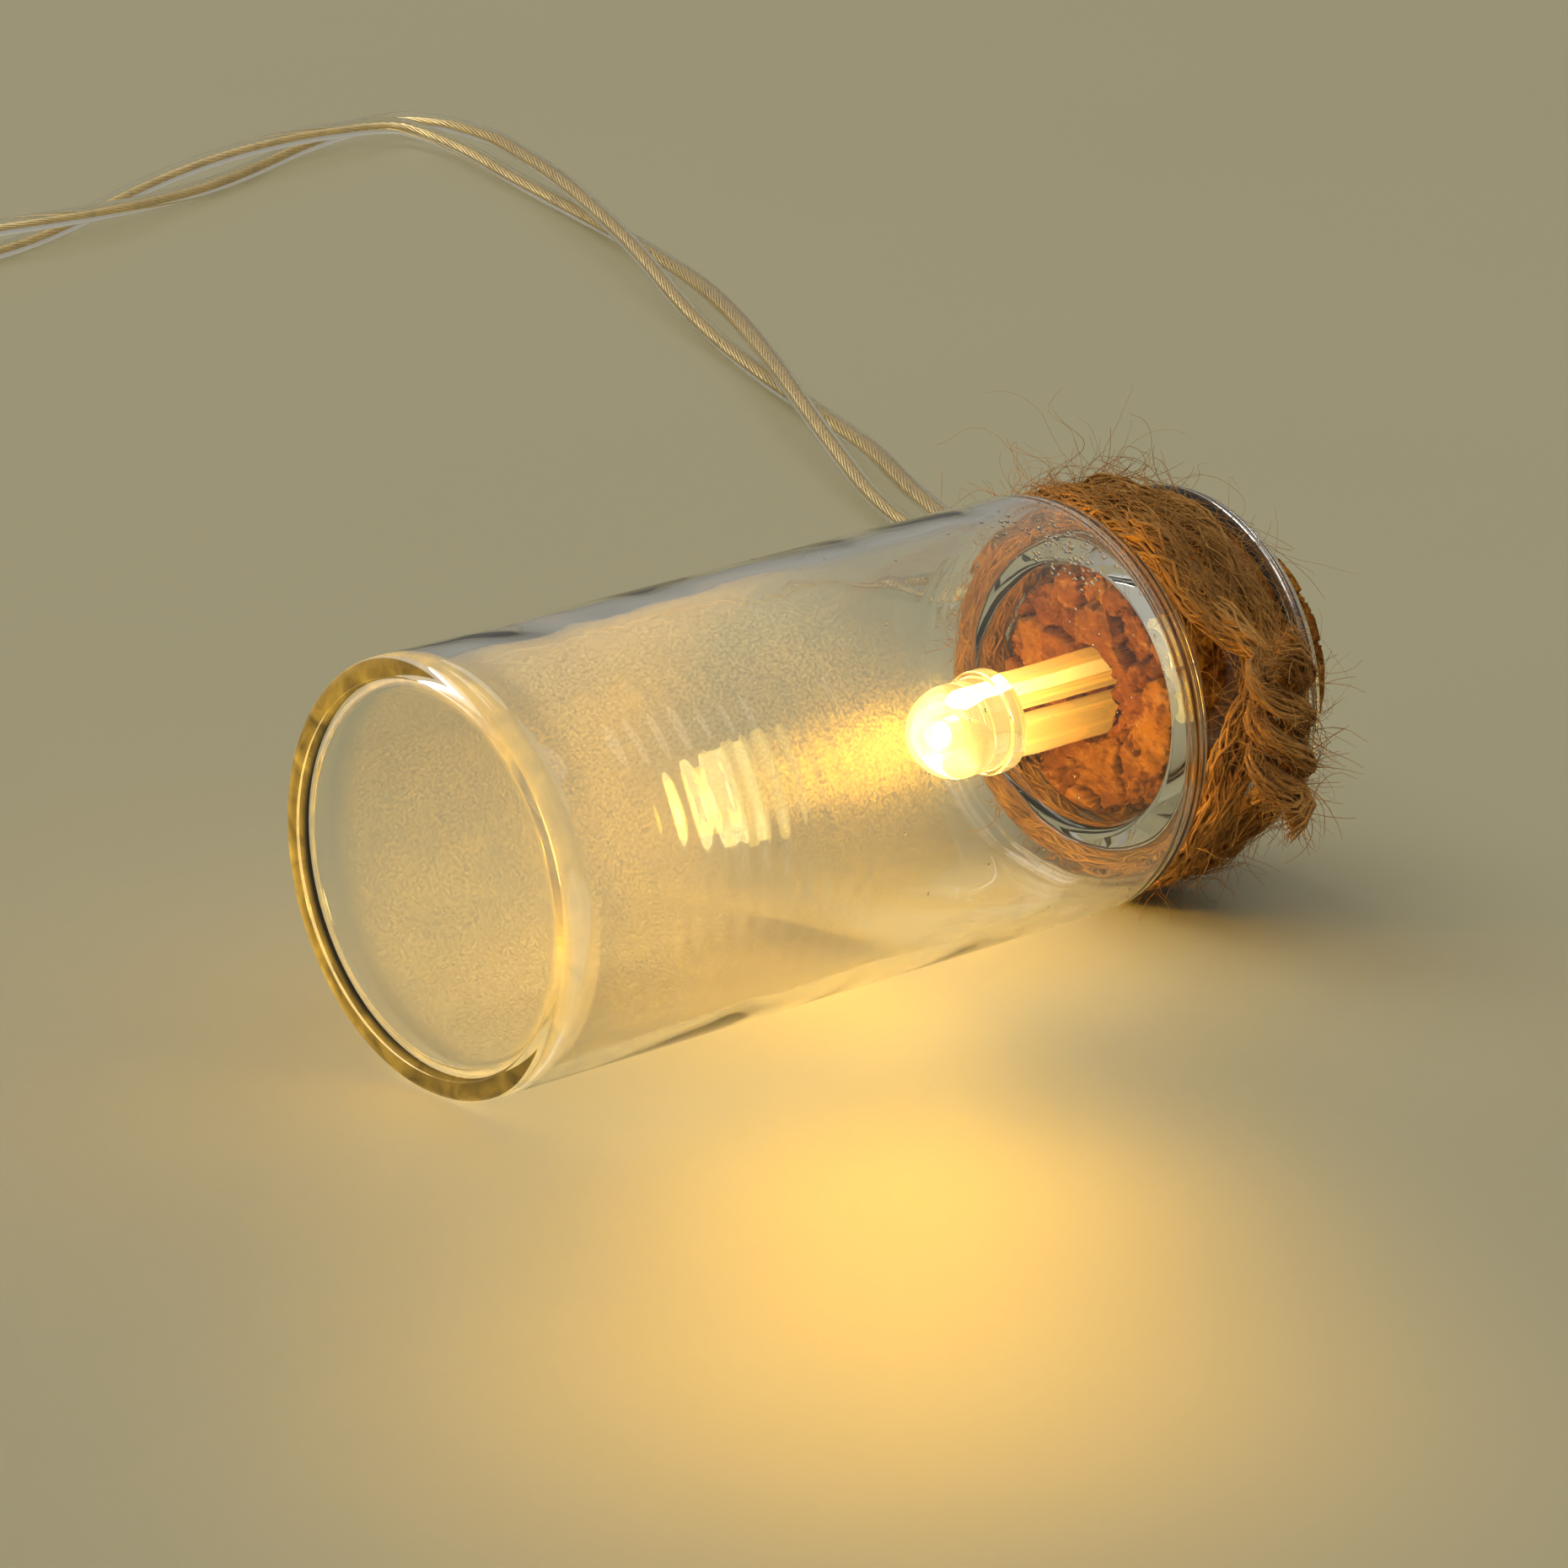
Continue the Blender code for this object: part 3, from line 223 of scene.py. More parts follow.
def wireLine(side):
    exitPoint = np.array((base + lead["corkEnd"], axisY, axisZ + side * lead["exitSpacing"] / 2))
    rows = [(x * mm, y * mm, z * mm, t) for x, y, z, t in leadRoute]
    entry = coilPoint(0.0)
    rows.append((entry[0] + 0.3 * mm, entry[1], entry[2], lead["closing"] + 1))
    middle = evenly(through(rows), 1.5 * mm)
    ahead = np.gradient(middle[:, :3], axis=0)
    left = np.cross([0.0, 0.0, 1.0], ahead)
    left /= np.linalg.norm(left, axis=1)[:, None]
    turn = math.pi * middle[:, 3]
    nearCoil = np.clip(middle[:, 3] - lead["closing"], 0.0, 1.0)[:, None]
    half = lead["pairHalfWidth"] + (lead["coilPitch"] / 2 - lead["pairHalfWidth"]) * nearCoil
    offset = left * half * np.cos(turn)[:, None]
    offset[:, 2] += lead["pairHalfHeight"] * np.sin(turn)
    free = middle[:, :3] + side * offset
    start = exitPoint.copy()
    start[0] = base + lead["wireStart"]
    first = [start, exitPoint, exitPoint + (lead["straightOut"], 0, 0)]
    coilSide = -side
    run = through([*first, *free[3:-1:2]], 8)
    count = round(lead["coilTurns"] * lead["coilPoints"])
    coil = np.array([coilPoint(i / count, coilSide) for i in range(count + 1)])
    final = coil[-1] + (coil[-1] - coil[-2]) / np.linalg.norm(coil[-1] - coil[-2]) * 1.5 * mm
    end = boxX + lead["caseEnd"]
    outer = lead["coilRadius"] + lead["coilPitch"] * lead["coilTurns"]
    tail = through([(lead["coilX"] - outer, lead["coilY"], lead["coilLow"] + lead["coilPitch"]),
                    *[(x * mm, y * mm, z * mm) for x, y, z in tailRoute],
                    (boxX + lead["bushEnd"], boxY, lead["bushHeight"])])
    ahead = np.gradient(tail, axis=0)
    right = np.cross(ahead, [0.0, 0.0, 1.0])
    right /= np.linalg.norm(right, axis=1)[:, None]
    spread = np.linspace(lead["coilPitch"], lead["bushSpacing"], len(tail))[:, None] / 2
    beside = tail + coilSide * right * spread
    y = boxY + coilSide * lead["bushSpacing"] / 2
    rows = [final, *beside[20:-8:10], (boxX + lead["bushEnd"] + mm, y, lead["bushHeight"]),
            (end + lead["insideBush"], y, lead["bushHeight"])]
    if coilSide < 0:
        rows.append((boxX + lead["switchX"] + 1.6 * mm, y - mm, lead["bushHeight"] - 1.3 * mm))
    else:
        rows += [(boxX + lead["switchX"] + 1.5 * mm, y + 1.8 * mm, lead["bushHeight"] + 2 * mm),
                 (boxX + lead["tabX"], boxY + lead["tabY"], lead["tabZ"])]
    whole = np.vstack([run, coil[:-1], through([coil[-1], *rows])])
    return evenly(whole, lead["spacing"])


wireLines = {"a": wireLine(1), "b": wireLine(-1)}
wireObjects = {}
for letter, line in wireLines.items():
    skin = strandPiece(f"wire_{letter}_insulation", [(line, 1.0, 0)], 6)
    skin.data.bevel_depth = lead["wire"] / 2
    ahead, side, other = sideways(line)
    turn = along(line) / lead["strandPitch"] * 2 * math.pi
    strands = [(line, lead["strand"] / 2, 0)]
    for i in range(6):
        a = turn + i * math.pi / 3
        points = line + lead["strand"] * (np.cos(a)[:, None] * side + np.sin(a)[:, None] * other)
        strands.append((points, lead["strand"] / 2 * 1.04, 0))
    core = asMesh(strandPiece(f"wire_{letter}_core", strands, 1))
    wireObjects[letter] = (skin, core)
print("wires laid")


def addNode(tree, kind, inputs=None, **settings):
    made = tree.nodes.new("ShaderNode" + kind)
    for name, value in settings.items():
        setattr(made, name, value)
    for key, value in (inputs or {}).items():
        if isinstance(value, bpy.types.NodeSocket):
            tree.links.new(value, made.inputs[key])
        else:
            made.inputs[key].default_value = value
    return made


def times(tree, first, second):
    return addNode(tree, "Math", {0: first, 1: second}, operation="MULTIPLY").outputs[0]


def noiseAt(tree, place, scale, detail, **more):
    return addNode(tree, "TexNoise", {"Vector": place, "Scale": scale, "Detail": detail, **more}).outputs["Fac"]


def mapped(tree, value, fromLow, fromHigh, toLow=0.0, toHigh=1.0, smooth=False):
    made = addNode(tree, "MapRange", {"Value": value, "From Min": fromLow, "From Max": fromHigh,
                                      "To Min": toLow, "To Max": toHigh})
    if smooth:
        made.interpolation_type = "SMOOTHSTEP"
    return made.outputs[0]


def newGroup(name, inputs, outputs):
    tree = bpy.data.node_groups.new(name, "ShaderNodeTree")
    for label, value in inputs.items():
        socket = tree.interface.new_socket(name=label, in_out="INPUT", socket_type="NodeSocketFloat")
        socket.default_value = value
    for label in outputs:
        tree.interface.new_socket(name=label, in_out="OUTPUT", socket_type="NodeSocketFloat")
    return tree, tree.nodes.new("NodeGroupInput"), tree.nodes.new("NodeGroupOutput")


# The group's two scales are given in the order of its inputs
def useGroup(tree, group, *scales):
    made = tree.nodes.new("ShaderNodeGroup")
    made.node_tree = group
    for socket, value in zip(made.inputs, scales):
        socket.default_value = value
    return made


# Fine moulded grain: an even height, and a slow mottle for tint and gloss
def mouldedGrainGroup():
    tree, given, out = newGroup("mouldedGrain", {"Scale": 3000.0, "Mottle Scale": 90.0}, ("Height", "Mottle"))
    place = addNode(tree, "TexCoord").outputs["Object"]
    grain = noiseAt(tree, place, given.outputs["Scale"], 2.0)
    mottle = noiseAt(tree, place, given.outputs["Mottle Scale"], 3.0)
    tree.links.new(grain, out.inputs["Height"])
    tree.links.new(mottle, out.inputs["Mottle"])
    return tree


# Fine scratches and smudges from handling, for the gloss of glass, metal and smooth plastic
def handlingGroup():
    tree, given, out = newGroup("handling", {"Scratch Scale": 600.0, "Smudge Scale": 120.0},
                                ("Scratches", "Smudges"))
    place = addNode(tree, "TexCoord").outputs["Object"]
    stretched = addNode(tree, "Mapping", {"Vector": place, "Scale": (0.12, 1.0, 1.6),
                                          "Rotation": (0.4, 0.7, 0.2)})
    lines = noiseAt(tree, stretched.outputs[0], given.outputs["Scratch Scale"], 4.0, Roughness=0.7)
    thin = mapped(tree, lines, 0.60, 0.70)
    smudge = noiseAt(tree, place, given.outputs["Smudge Scale"], 5.0, Roughness=0.6, Distortion=0.8)
    soft = mapped(tree, smudge, 0.45, 0.72)
    tree.links.new(thin, out.inputs["Scratches"])
    tree.links.new(soft, out.inputs["Smudges"])
    return tree


mouldedGrain, handling = mouldedGrainGroup(), handlingGroup()
jar = {
    "radius": axisZ, "wall": 0.9 * mm, "floor": 0.9 * mm, "baseEdge": 0.5 * mm, "floorCorner": 1.0 * mm,
    "footRadius": 10.0 * mm, "footDepth": 0.18 * mm, "footRound": 0.09 * mm,
    "side": 40.3 * mm, "shoulder": 2.7 * mm, "neckRadius": 8.0 * mm, "neck": 6.4 * mm, "fillet": 0.3 * mm,
    "lipRadius": 9.6 * mm, "lip": 1.9 * mm, "bore": 6.85 * mm, "taper": 0.02, "mouthRound": 0.5 * mm,
    "ripple": 0.05 * mm, "ripples": 4,
}
drawn = {
    "start": 5.0 * mm, "end": 21.0 * mm, "soft": 2 * mm, "apart": 1.35 * mm, "depth": 0.012 * mm,
    "facing": (0.0, -0.911, 0.411),
}
haze = {"start": 2.4 * mm, "soft": 2 * mm, "fade": 18.0 * mm, "end": 28.0 * mm, "level": 0.09}
# Where the base rim's painted glow lies, how strong it is and its colour
rim = {"inside": 9.3 * mm, "full": 9.9 * mm, "height": 1.4 * mm, "glow": 0.36, "color": (1.0, 0.56, 0.07)}


def newMaterial(name, **values):
    made = bpy.data.materials.new(name)
    made.use_nodes = True
    tree = made.node_tree
    shader = tree.nodes["Principled BSDF"]
    for key, value in values.items():
        shader.inputs[key.replace("_", " ")].default_value = value
    made.diffuse_color = (*shader.inputs["Base Color"].default_value[:3], 1)
    return made, tree, shader


def bumped(tree, shader, height, strength, distance, normal=None):
    inputs = {"Height": height, "Strength": strength, "Distance": distance}
    if normal is not None:
        inputs["Normal"] = normal
    bump = addNode(tree, "Bump", inputs)
    tree.links.new(bump.outputs[0], shader.inputs["Normal"])
    return bump.outputs[0]


def mixColors(tree, factor, first, second, blend="MIX"):
    made = addNode(tree, "Mix", data_type="RGBA", blend_type=blend)
    for index, value in ((0, factor), (6, first), (7, second)):
        if isinstance(value, bpy.types.NodeSocket):
            tree.links.new(value, made.inputs[index])
        else:
            made.inputs[index].default_value = value if index == 0 else (*value[:3], 1.0)
    return made.outputs[2]


# Lamps shine through clear pieces: rays from lamps meet a plain tinted transparent shader
def letLampsThrough(tree, shader, tint):
    path = addNode(tree, "LightPath")
    clear = addNode(tree, "BsdfTransparent", {"Color": (*tint, 1.0)})
    mix = addNode(tree, "MixShader", {0: path.outputs["Is Shadow Ray"], 1: shader.outputs[0],
                                      2: clear.outputs[0]})
    tree.links.new(mix.outputs[0], tree.nodes["Material Output"].inputs["Surface"])


# Smudges change the gloss
def smudgedGloss(tree, shader, marks, change, roughness):
    rough = addNode(tree, "Math", {0: marks.outputs["Smudges"], 1: change, 2: roughness},
                    operation="MULTIPLY_ADD")
    tree.links.new(rough.outputs[0], shader.inputs["Roughness"])


# Faint rings left in one side of the wall where the tube was drawn, which split what shows through into bars
def drawnRipple(tree, place):
    x = addNode(tree, "SeparateXYZ", {0: place}).outputs["X"]
    begins = mapped(tree, x, base + drawn["start"], base + drawn["start"] + drawn["soft"], smooth=True)
    ends = mapped(tree, x, base + drawn["end"] - drawn["soft"], base + drawn["end"], 1.0, 0.0, smooth=True)
    rings = addNode(tree, "TexWave", {"Vector": place, "Scale": 0.314 / drawn["apart"], "Distortion": 2.5,
                                      "Detail": 1.0, "Detail Scale": 0.4})
    fromAxis = addNode(tree, "VectorMath", {0: place, 1: (0.0, axisY, axisZ)}, operation="SUBTRACT").outputs[0]
    toward = addNode(tree, "VectorMath", {0: fromAxis, 1: drawn["facing"]}, operation="DOT_PRODUCT")
    patch = mapped(tree, toward.outputs["Value"], 0.45 * jar["radius"], 0.85 * jar["radius"], smooth=True)
    band = times(tree, begins, ends)
    where = times(tree, patch, band)
    return times(tree, rings.outputs["Fac"], where)


def glassMaterial():
    made, tree, shader = newMaterial("jar glass", Base_Color=(0.975, 0.985, 0.965, 1), Roughness=0.02,
                                     Transmission_Weight=1.0, IOR=1.47)
    marks = useGroup(tree, handling, 900.0, 140.0)
    place = addNode(tree, "TexCoord").outputs["Object"]
    smudgedGloss(tree, shader, marks, 0.015, 0.004)
    wave = noiseAt(tree, place, 130.0, 1.0)
    fine = noiseAt(tree, place, 900.0, 2.0)
    first = bumped(tree, shader, wave, 0.3, 0.5 * mm)
    second = bumped(tree, shader, fine, 0.05, 0.02 * mm, first)
    bumped(tree, shader, drawnRipple(tree, place), 1.0, drawn["depth"], second)
    paintedRimGlow(tree, shader, place)
    letLampsThrough(tree, shader, (0.97, 0.97, 0.95))
    return made


# Painted glow (emission) at the rim of the base, for the LED's light that the wall carries down to it;
# streaked, and brighter towards +Y
def paintedRimGlow(tree, shader, place):
    split = addNode(tree, "SeparateXYZ", {0: place})
    across = addNode(tree, "CombineXYZ", {"X": 0.0, "Y": split.outputs["Y"], "Z": split.outputs["Z"]})
    fromAxis = addNode(tree, "VectorMath", {0: across.outputs[0], 1: (0.0, axisY, axisZ)}, operation="DISTANCE")
    outer = mapped(tree, fromAxis.outputs["Value"], rim["inside"], rim["full"], smooth=True)
    low = mapped(tree, split.outputs["X"], base + 0.4 * rim["height"], base + rim["height"], 1.0, 0.0,
                 smooth=True)
    mask = times(tree, outer, low)
    streaks = noiseAt(tree, place, 380.0, 3.0, Distortion=1.5)
    uneven = mapped(tree, streaks, 0.3, 0.7, 0.35, 1.3)
    side = mapped(tree, split.outputs["Y"], axisY - jar["radius"], axisY + jar["radius"], 0.5, 1.2)
    level = times(tree, mask, uneven)
    level = times(tree, level, side)
    color = addNode(tree, "VectorMath", {0: rim["color"], "Scale": level}, operation="SCALE").outputs[0]
    tree.links.new(color, shader.inputs["Emission Color"])
    shader.inputs["Emission Strength"].default_value = rim["glow"]


# A thin milky film on the inside of the side wall, clear at the base and towards the shoulder; its amber base
# colour is painted light from the LED
def hazeMaterial():
    made, tree, shader = newMaterial("milky haze", Base_Color=(0.92, 0.70, 0.30, 1), Roughness=0.55,
                                     Transmission_Weight=0.5, IOR=1.25)
    place = addNode(tree, "TexCoord").outputs["Object"]
    x = addNode(tree, "SeparateXYZ", {0: place}).outputs["X"]
    starts = mapped(tree, x, base + haze["start"], base + haze["start"] + haze["soft"], smooth=True)
    ends = mapped(tree, x, base + haze["fade"], base + haze["end"], 1.0, 0.0, smooth=True)
    band = times(tree, starts, ends)
    slow = noiseAt(tree, place, 180.0, 3.0)
    speck = noiseAt(tree, place, 6500.0, 1.0)
    cloudy = mapped(tree, slow, 0.3, 0.7, 0.8, 1.15)
    grainy = mapped(tree, speck, 0.35, 0.65, 0.3, 1.8)
    uneven = times(tree, cloudy, grainy)
    masked = times(tree, band, uneven)
    tree.links.new(times(tree, masked, haze["level"]), shader.inputs["Alpha"])
    letLampsThrough(tree, shader, (0.98, 0.98, 0.97))
    return made


def corkMaterial():
    made, tree, shader = newMaterial("bare cork", Roughness=0.9)
    shader.inputs["Specular IOR Level"].default_value = 0.1
    place = addNode(tree, "TexCoord").outputs["Object"]
    paintedCreviceShade = addNode(tree, "Attribute", attribute_name="paintedCreviceShade").outputs["Fac"]
    granule = addNode(tree, "Attribute", attribute_name="granule").outputs["Fac"]
    slow = noiseAt(tree, place, 380.0, 4.0, Roughness=0.6, Distortion=0.6)
    streaked = addNode(tree, "Mapping", {"Vector": place, "Scale": (1.0, 0.45, 1.0),
                                         "Rotation": (0.3, 0.2, 0.1)})
    fine = noiseAt(tree, streaked.outputs[0], 1700.0, 6.0, Roughness=0.75)
    patches = mapped(tree, slow, 0.35, 0.65, 0.0, 0.6)
    pale = mapped(tree, fine, 0.52, 0.70, 0.0, 0.6)
    dark = mapped(tree, fine, 0.46, 0.34, 0.0, 0.7)
    color = mixColors(tree, granule, (0.14, 0.042, 0.004), (0.34, 0.14, 0.014))
    # The last tone paints shade into the seams and hollows
    for share, tone in ((patches, (0.24, 0.085, 0.008)), (pale, (0.44, 0.22, 0.045)),
                        (dark, (0.075, 0.025, 0.004)), (paintedCreviceShade, (0.025, 0.008, 0.002))):
        color = mixColors(tree, share, color, tone)
    tree.links.new(color, shader.inputs["Base Color"])
    first = bumped(tree, shader, slow, 0.4, 0.4 * mm)
    bumped(tree, shader, fine, 0.9, 0.16 * mm, first)
    return made


def juteMaterial(name, color, dark, sheen):
    made, tree, shader = newMaterial(name, Roughness=0.9)
    shader.inputs["Specular IOR Level"].default_value = 0.3
    shader.inputs["Sheen Weight"].default_value = sheen
    shader.inputs["Sheen Roughness"].default_value = 0.4
    place = addNode(tree, "TexCoord").outputs["Object"]
    slow = noiseAt(tree, place, 420.0, 4.0, Roughness=0.65)
    fine = noiseAt(tree, place, 4200.0, 3.0)
    varied = mixColors(tree, mapped(tree, slow, 0.32, 0.68), dark, color)
    pale = tuple(min(1.0, value * 1.4 + 0.01) for value in color)
    tree.links.new(mixColors(tree, mapped(tree, fine, 0.5, 0.8, 0.0, 0.5), varied, pale),
                   shader.inputs["Base Color"])
    bumped(tree, shader, fine, 0.5, 0.05 * mm)
    return made


def clearPlastic(name, color, roughness, tint, smudge=0.08):
    made, tree, shader = newMaterial(name, Base_Color=(*color, 1), Transmission_Weight=1.0, IOR=1.5,
                                     Roughness=roughness)
    marks = useGroup(tree, handling, 1200.0, 300.0)
    smudgedGloss(tree, shader, marks, smudge, roughness)
    letLampsThrough(tree, shader, tint)
    return made


def metalMaterial(name, color, roughness, scratches=0.15):
    made, tree, shader = newMaterial(name, Base_Color=(*color, 1), Metallic=1.0, Roughness=roughness)
    marks = useGroup(tree, handling, 1500.0, 400.0)
    dulled = mixColors(tree, marks.outputs["Smudges"], color, tuple(value * 0.72 for value in color))
    tree.links.new(dulled, shader.inputs["Base Color"])
    smudgedGloss(tree, shader, marks, scratches, roughness)
    bumped(tree, shader, marks.outputs["Scratches"], 0.2, 0.01 * mm)
    return made


def mouldedMaterial(name, color, roughness, grain=0.25, scale=2600.0, spread=0.06, grainDepth=0.02 * mm):
    made, tree, shader = newMaterial(name, Base_Color=(*color, 1), Roughness=roughness)
    surface = useGroup(tree, mouldedGrain, scale, 110.0)
    marks = useGroup(tree, handling, 500.0, 90.0)
    shade = tuple(max(0.0, value * (1 - spread) - 0.004) for value in color)
    mottled = mixColors(tree, mapped(tree, surface.outputs["Mottle"], 0.35, 0.65), color, shade)
    tree.links.new(mixColors(tree, mapped(tree, marks.outputs["Smudges"], 0, 1, 0, 0.35), mottled, shade),
                   shader.inputs["Base Color"])
    smudgedGloss(tree, shader, marks, -0.10, roughness)
    first = bumped(tree, shader, surface.outputs["Height"], grain, grainDepth)
    bumped(tree, shader, marks.outputs["Scratches"], 0.08, 0.01 * mm, first)
    return made


jarGlass = glassMaterial()
corkFinish = corkMaterial()
juteFinishes = [juteMaterial("jute", (0.39, 0.20, 0.05), (0.20, 0.088, 0.02), 0.05),
                juteMaterial("pale jute", (0.64, 0.40, 0.14), (0.40, 0.22, 0.06), 0.08),
                juteMaterial("dark jute", (0.12, 0.052, 0.014), (0.05, 0.02, 0.006), 0.03)]
insulationFinish = clearPlastic("clear wire insulation", (0.975, 0.965, 0.90), 0.05, (0.85, 0.83, 0.74))
sleeveFinish = clearPlastic("clear sleeve", (1.0, 0.86, 0.50), 0.10, (0.98, 0.94, 0.80))
copperFinish = metalMaterial("copper strands", (0.96, 0.77, 0.43), 0.30)
leadFinish = metalMaterial("tinned steel leads", (0.80, 0.78, 0.74), 0.22)
nickelFinish = metalMaterial("nickel strip", (0.75, 0.72, 0.66), 0.26)
springFinish = metalMaterial("spring wire", (0.66, 0.65, 0.62), 0.22)
whitePlastic = mouldedMaterial("white box plastic", (0.80, 0.80, 0.77), 0.42)
blackPlastic = mouldedMaterial("black switch plastic", (0.025, 0.025, 0.027), 0.45)
tieFinish = mouldedMaterial("white tie", (0.82, 0.82, 0.79), 0.5, 0.4)
rubberFinish = mouldedMaterial("grey rubber bush", (0.42, 0.42, 0.40), 0.7, 0.5, 1800.0)
redFinish = mouldedMaterial("red wire", (0.52, 0.03, 0.02), 0.35, 0.1)
resistorFinish = mouldedMaterial("resistor lacquer", (0.62, 0.46, 0.28), 0.5, 0.3)
cellFinish = mouldedMaterial("cell wrapper", (0.07, 0.14, 0.12), 0.28, 0.08)
bandFinish = mouldedMaterial("cell wrapper band", (0.60, 0.61, 0.58), 0.28, 0.08)
print("materials made")

for letter, (skin, core) in wireObjects.items():
    finishPiece(core, "cork_lead_and_box", copperFinish)
    finishPiece(skin, "cork_lead_and_box", insulationFinish,
                (f"wire_run_{letter}", f"wire_coil_{letter}", f"wire_tail_{letter}"))
print("wires finished")


# The jar's outline as (along X, radius): out from the foot, round the lip and back inside
def jarProfile():
    radius, inner = jar["radius"], jar["radius"] - jar["wall"]
    shoulderEnd = jar["side"] + jar["shoulder"]
    lipStart = shoulderEnd + jar["neck"]
    mouth = lipStart + jar["lip"]
    boreStart = shoulderEnd - jar["wall"]
    mouthRadius = jar["bore"] + jar["taper"] * (mouth - boreStart)
    foot, bead, edge, corner, small = (jar["neckRadius"] + jar["fillet"], jar["lip"] / 2, jar["baseEdge"],
                                       jar["floorCorner"], jar["mouthRound"])
    deep, ring, roll = jar["footDepth"], jar["footRadius"], jar["footRound"]
    outside = [(deep, 0), (deep, ring * 0.5), (deep, ring - 0.25 * mm)]
    outside += arcPoints((deep - roll, ring - 0.16 * mm), (roll, roll), 0, 60, 3)
    outside += arcPoints((roll, ring), (roll, roll), 240, 180, 3)
    outside += arcPoints((edge, radius - edge), (edge, edge), 180, 90, 10)
    outside += [(jar["side"] * share, radius) for share in (0.2, 0.4, 0.6, 0.8)]
    outside += arcPoints((jar["side"], foot), (jar["shoulder"], radius - foot), 90, 0, 14)
    outside += arcPoints((shoulderEnd + jar["fillet"], foot), (jar["fillet"],) * 2, 180, 270, 5)
    outside += arcPoints((lipStart - jar["fillet"], foot), (jar["fillet"],) * 2, 270, 360, 5)
    outside += arcPoints((lipStart + bead, jar["lipRadius"] - bead), (bead, bead), 180, 0, 16)
    inside = arcPoints((mouth - small, mouthRadius + small), (small, small), 0, -90, 6)
    inside += arcPoints((boreStart + small, jar["bore"] + small), (small, small), 270, 180, 6)
    shoulder = arcPoints((jar["side"], foot), (boreStart - jar["side"], inner - foot), 0, 90, 32)
    for k, (x, r) in enumerate(shoulder):
        part = k / (len(shoulder) - 1)
        swell, wave = math.sin(part * math.pi), math.sin(part * jar["ripples"] * 2 * math.pi)
        inside.append((x, r - jar["ripple"] * swell * wave))
    inside += [(jar["side"] * share, inner) for share in (0.8, 0.6, 0.4, 0.2)]
    inside += arcPoints((jar["floor"] + corner, inner - corner), (corner, corner), 90, 180, 10)
    return outside + inside + [(jar["floor"] + 0.15 * mm, 3.5 * mm), (jar["floor"] + 0.2 * mm, 0)]


glassJar = spunPiece("jar_body", jarProfile(), 128, smooth=60)
finishPiece(glassJar, "jar", jarGlass, ("glass_jar",))


def hazePiece():
    outer, inner = jar["radius"] - jar["wall"] - 0.03 * mm, jar["radius"] - jar["wall"] - 0.06 * mm
    first, last = haze["start"], haze["end"] + 0.5 * mm
    wall = [(first, inner), (first, outer), (last, outer), (last, inner), (first, inner)]
    finishPiece(spunPiece("jar_haze", wall, 96), "jar", hazeMaterial(), ())


hazePiece()


# Small specks of condensed glass smoke and dust near the shoulder: one dome, repeated
specks = {"count": 260, "smallest": 0.035 * mm, "largest": 0.12 * mm, "seed": 3}


def speckPiece():
    chance = random.Random(specks["seed"])
    deselect()
    bpy.ops.mesh.primitive_uv_sphere_add(segments=8, ring_count=5, radius=1.0)
    dome = bpy.context.active_object
    shape = [v.co.copy() for v in dome.data.vertices]
    faces = [tuple(face.vertices) for face in dome.data.polygons]
    bpy.data.objects.remove(dome)
    points, polygons = [], []
    for i in range(specks["count"]):
        gathered = i < specks["count"] * 0.6
        x = base + (chance.gauss(37.6, 1.2) if gathered else chance.uniform(20, 40)) * mm
        angle = math.radians(chance.gauss(112, 9) if gathered else chance.uniform(60, 240))
        if x > base + jar["side"]:
            continue
        size = chance.uniform(specks["smallest"], specks["largest"]) * (1.0 if gathered else 0.6)
        out = Vector((0, math.cos(angle), math.sin(angle)))
        across = Vector((1, 0, 0))
        other = out.cross(across)
        middle = Vector((x, axisY, axisZ)) + out * (jar["radius"] + 0.1 * size)
        start = len(points)
        longer = chance.uniform(1.0, 1.7)
        points += [middle + across * p.x * size + other * p.y * size * longer + out * p.z * size * 0.55
                   for p in shape]
        polygons += [tuple(start + k for k in face) for face in faces]
    mesh = bpy.data.meshes.new("jar_specks")
    mesh.from_pydata(points, [], polygons)
    piece = bpy.data.objects.new("jar_specks", mesh)
    bpy.context.scene.collection.objects.link(piece)
    only(piece)
    bpy.ops.object.mode_set(mode="EDIT")
    bpy.ops.mesh.select_all(action="SELECT")
    bpy.ops.mesh.normals_make_consistent(inside=False)
    bpy.ops.object.mode_set(mode="OBJECT")
    bpy.ops.object.shade_smooth()
    finishPiece(piece, "jar", jarGlass, ())


speckPiece()
print("jar blown")


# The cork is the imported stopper, remeshed fine and broken up
corkLook = {
    "voxel": 0.115 * mm, "granule": 1.9 * mm, "step": 0.55 * mm, "slope": 0.34, "seam": 0.34 * mm,
    "seamWidth": 0.13, "rough": 0.20 * mm, "warp": 0.38 * mm, "chip": 0.9 * mm, "seed": 4,
}


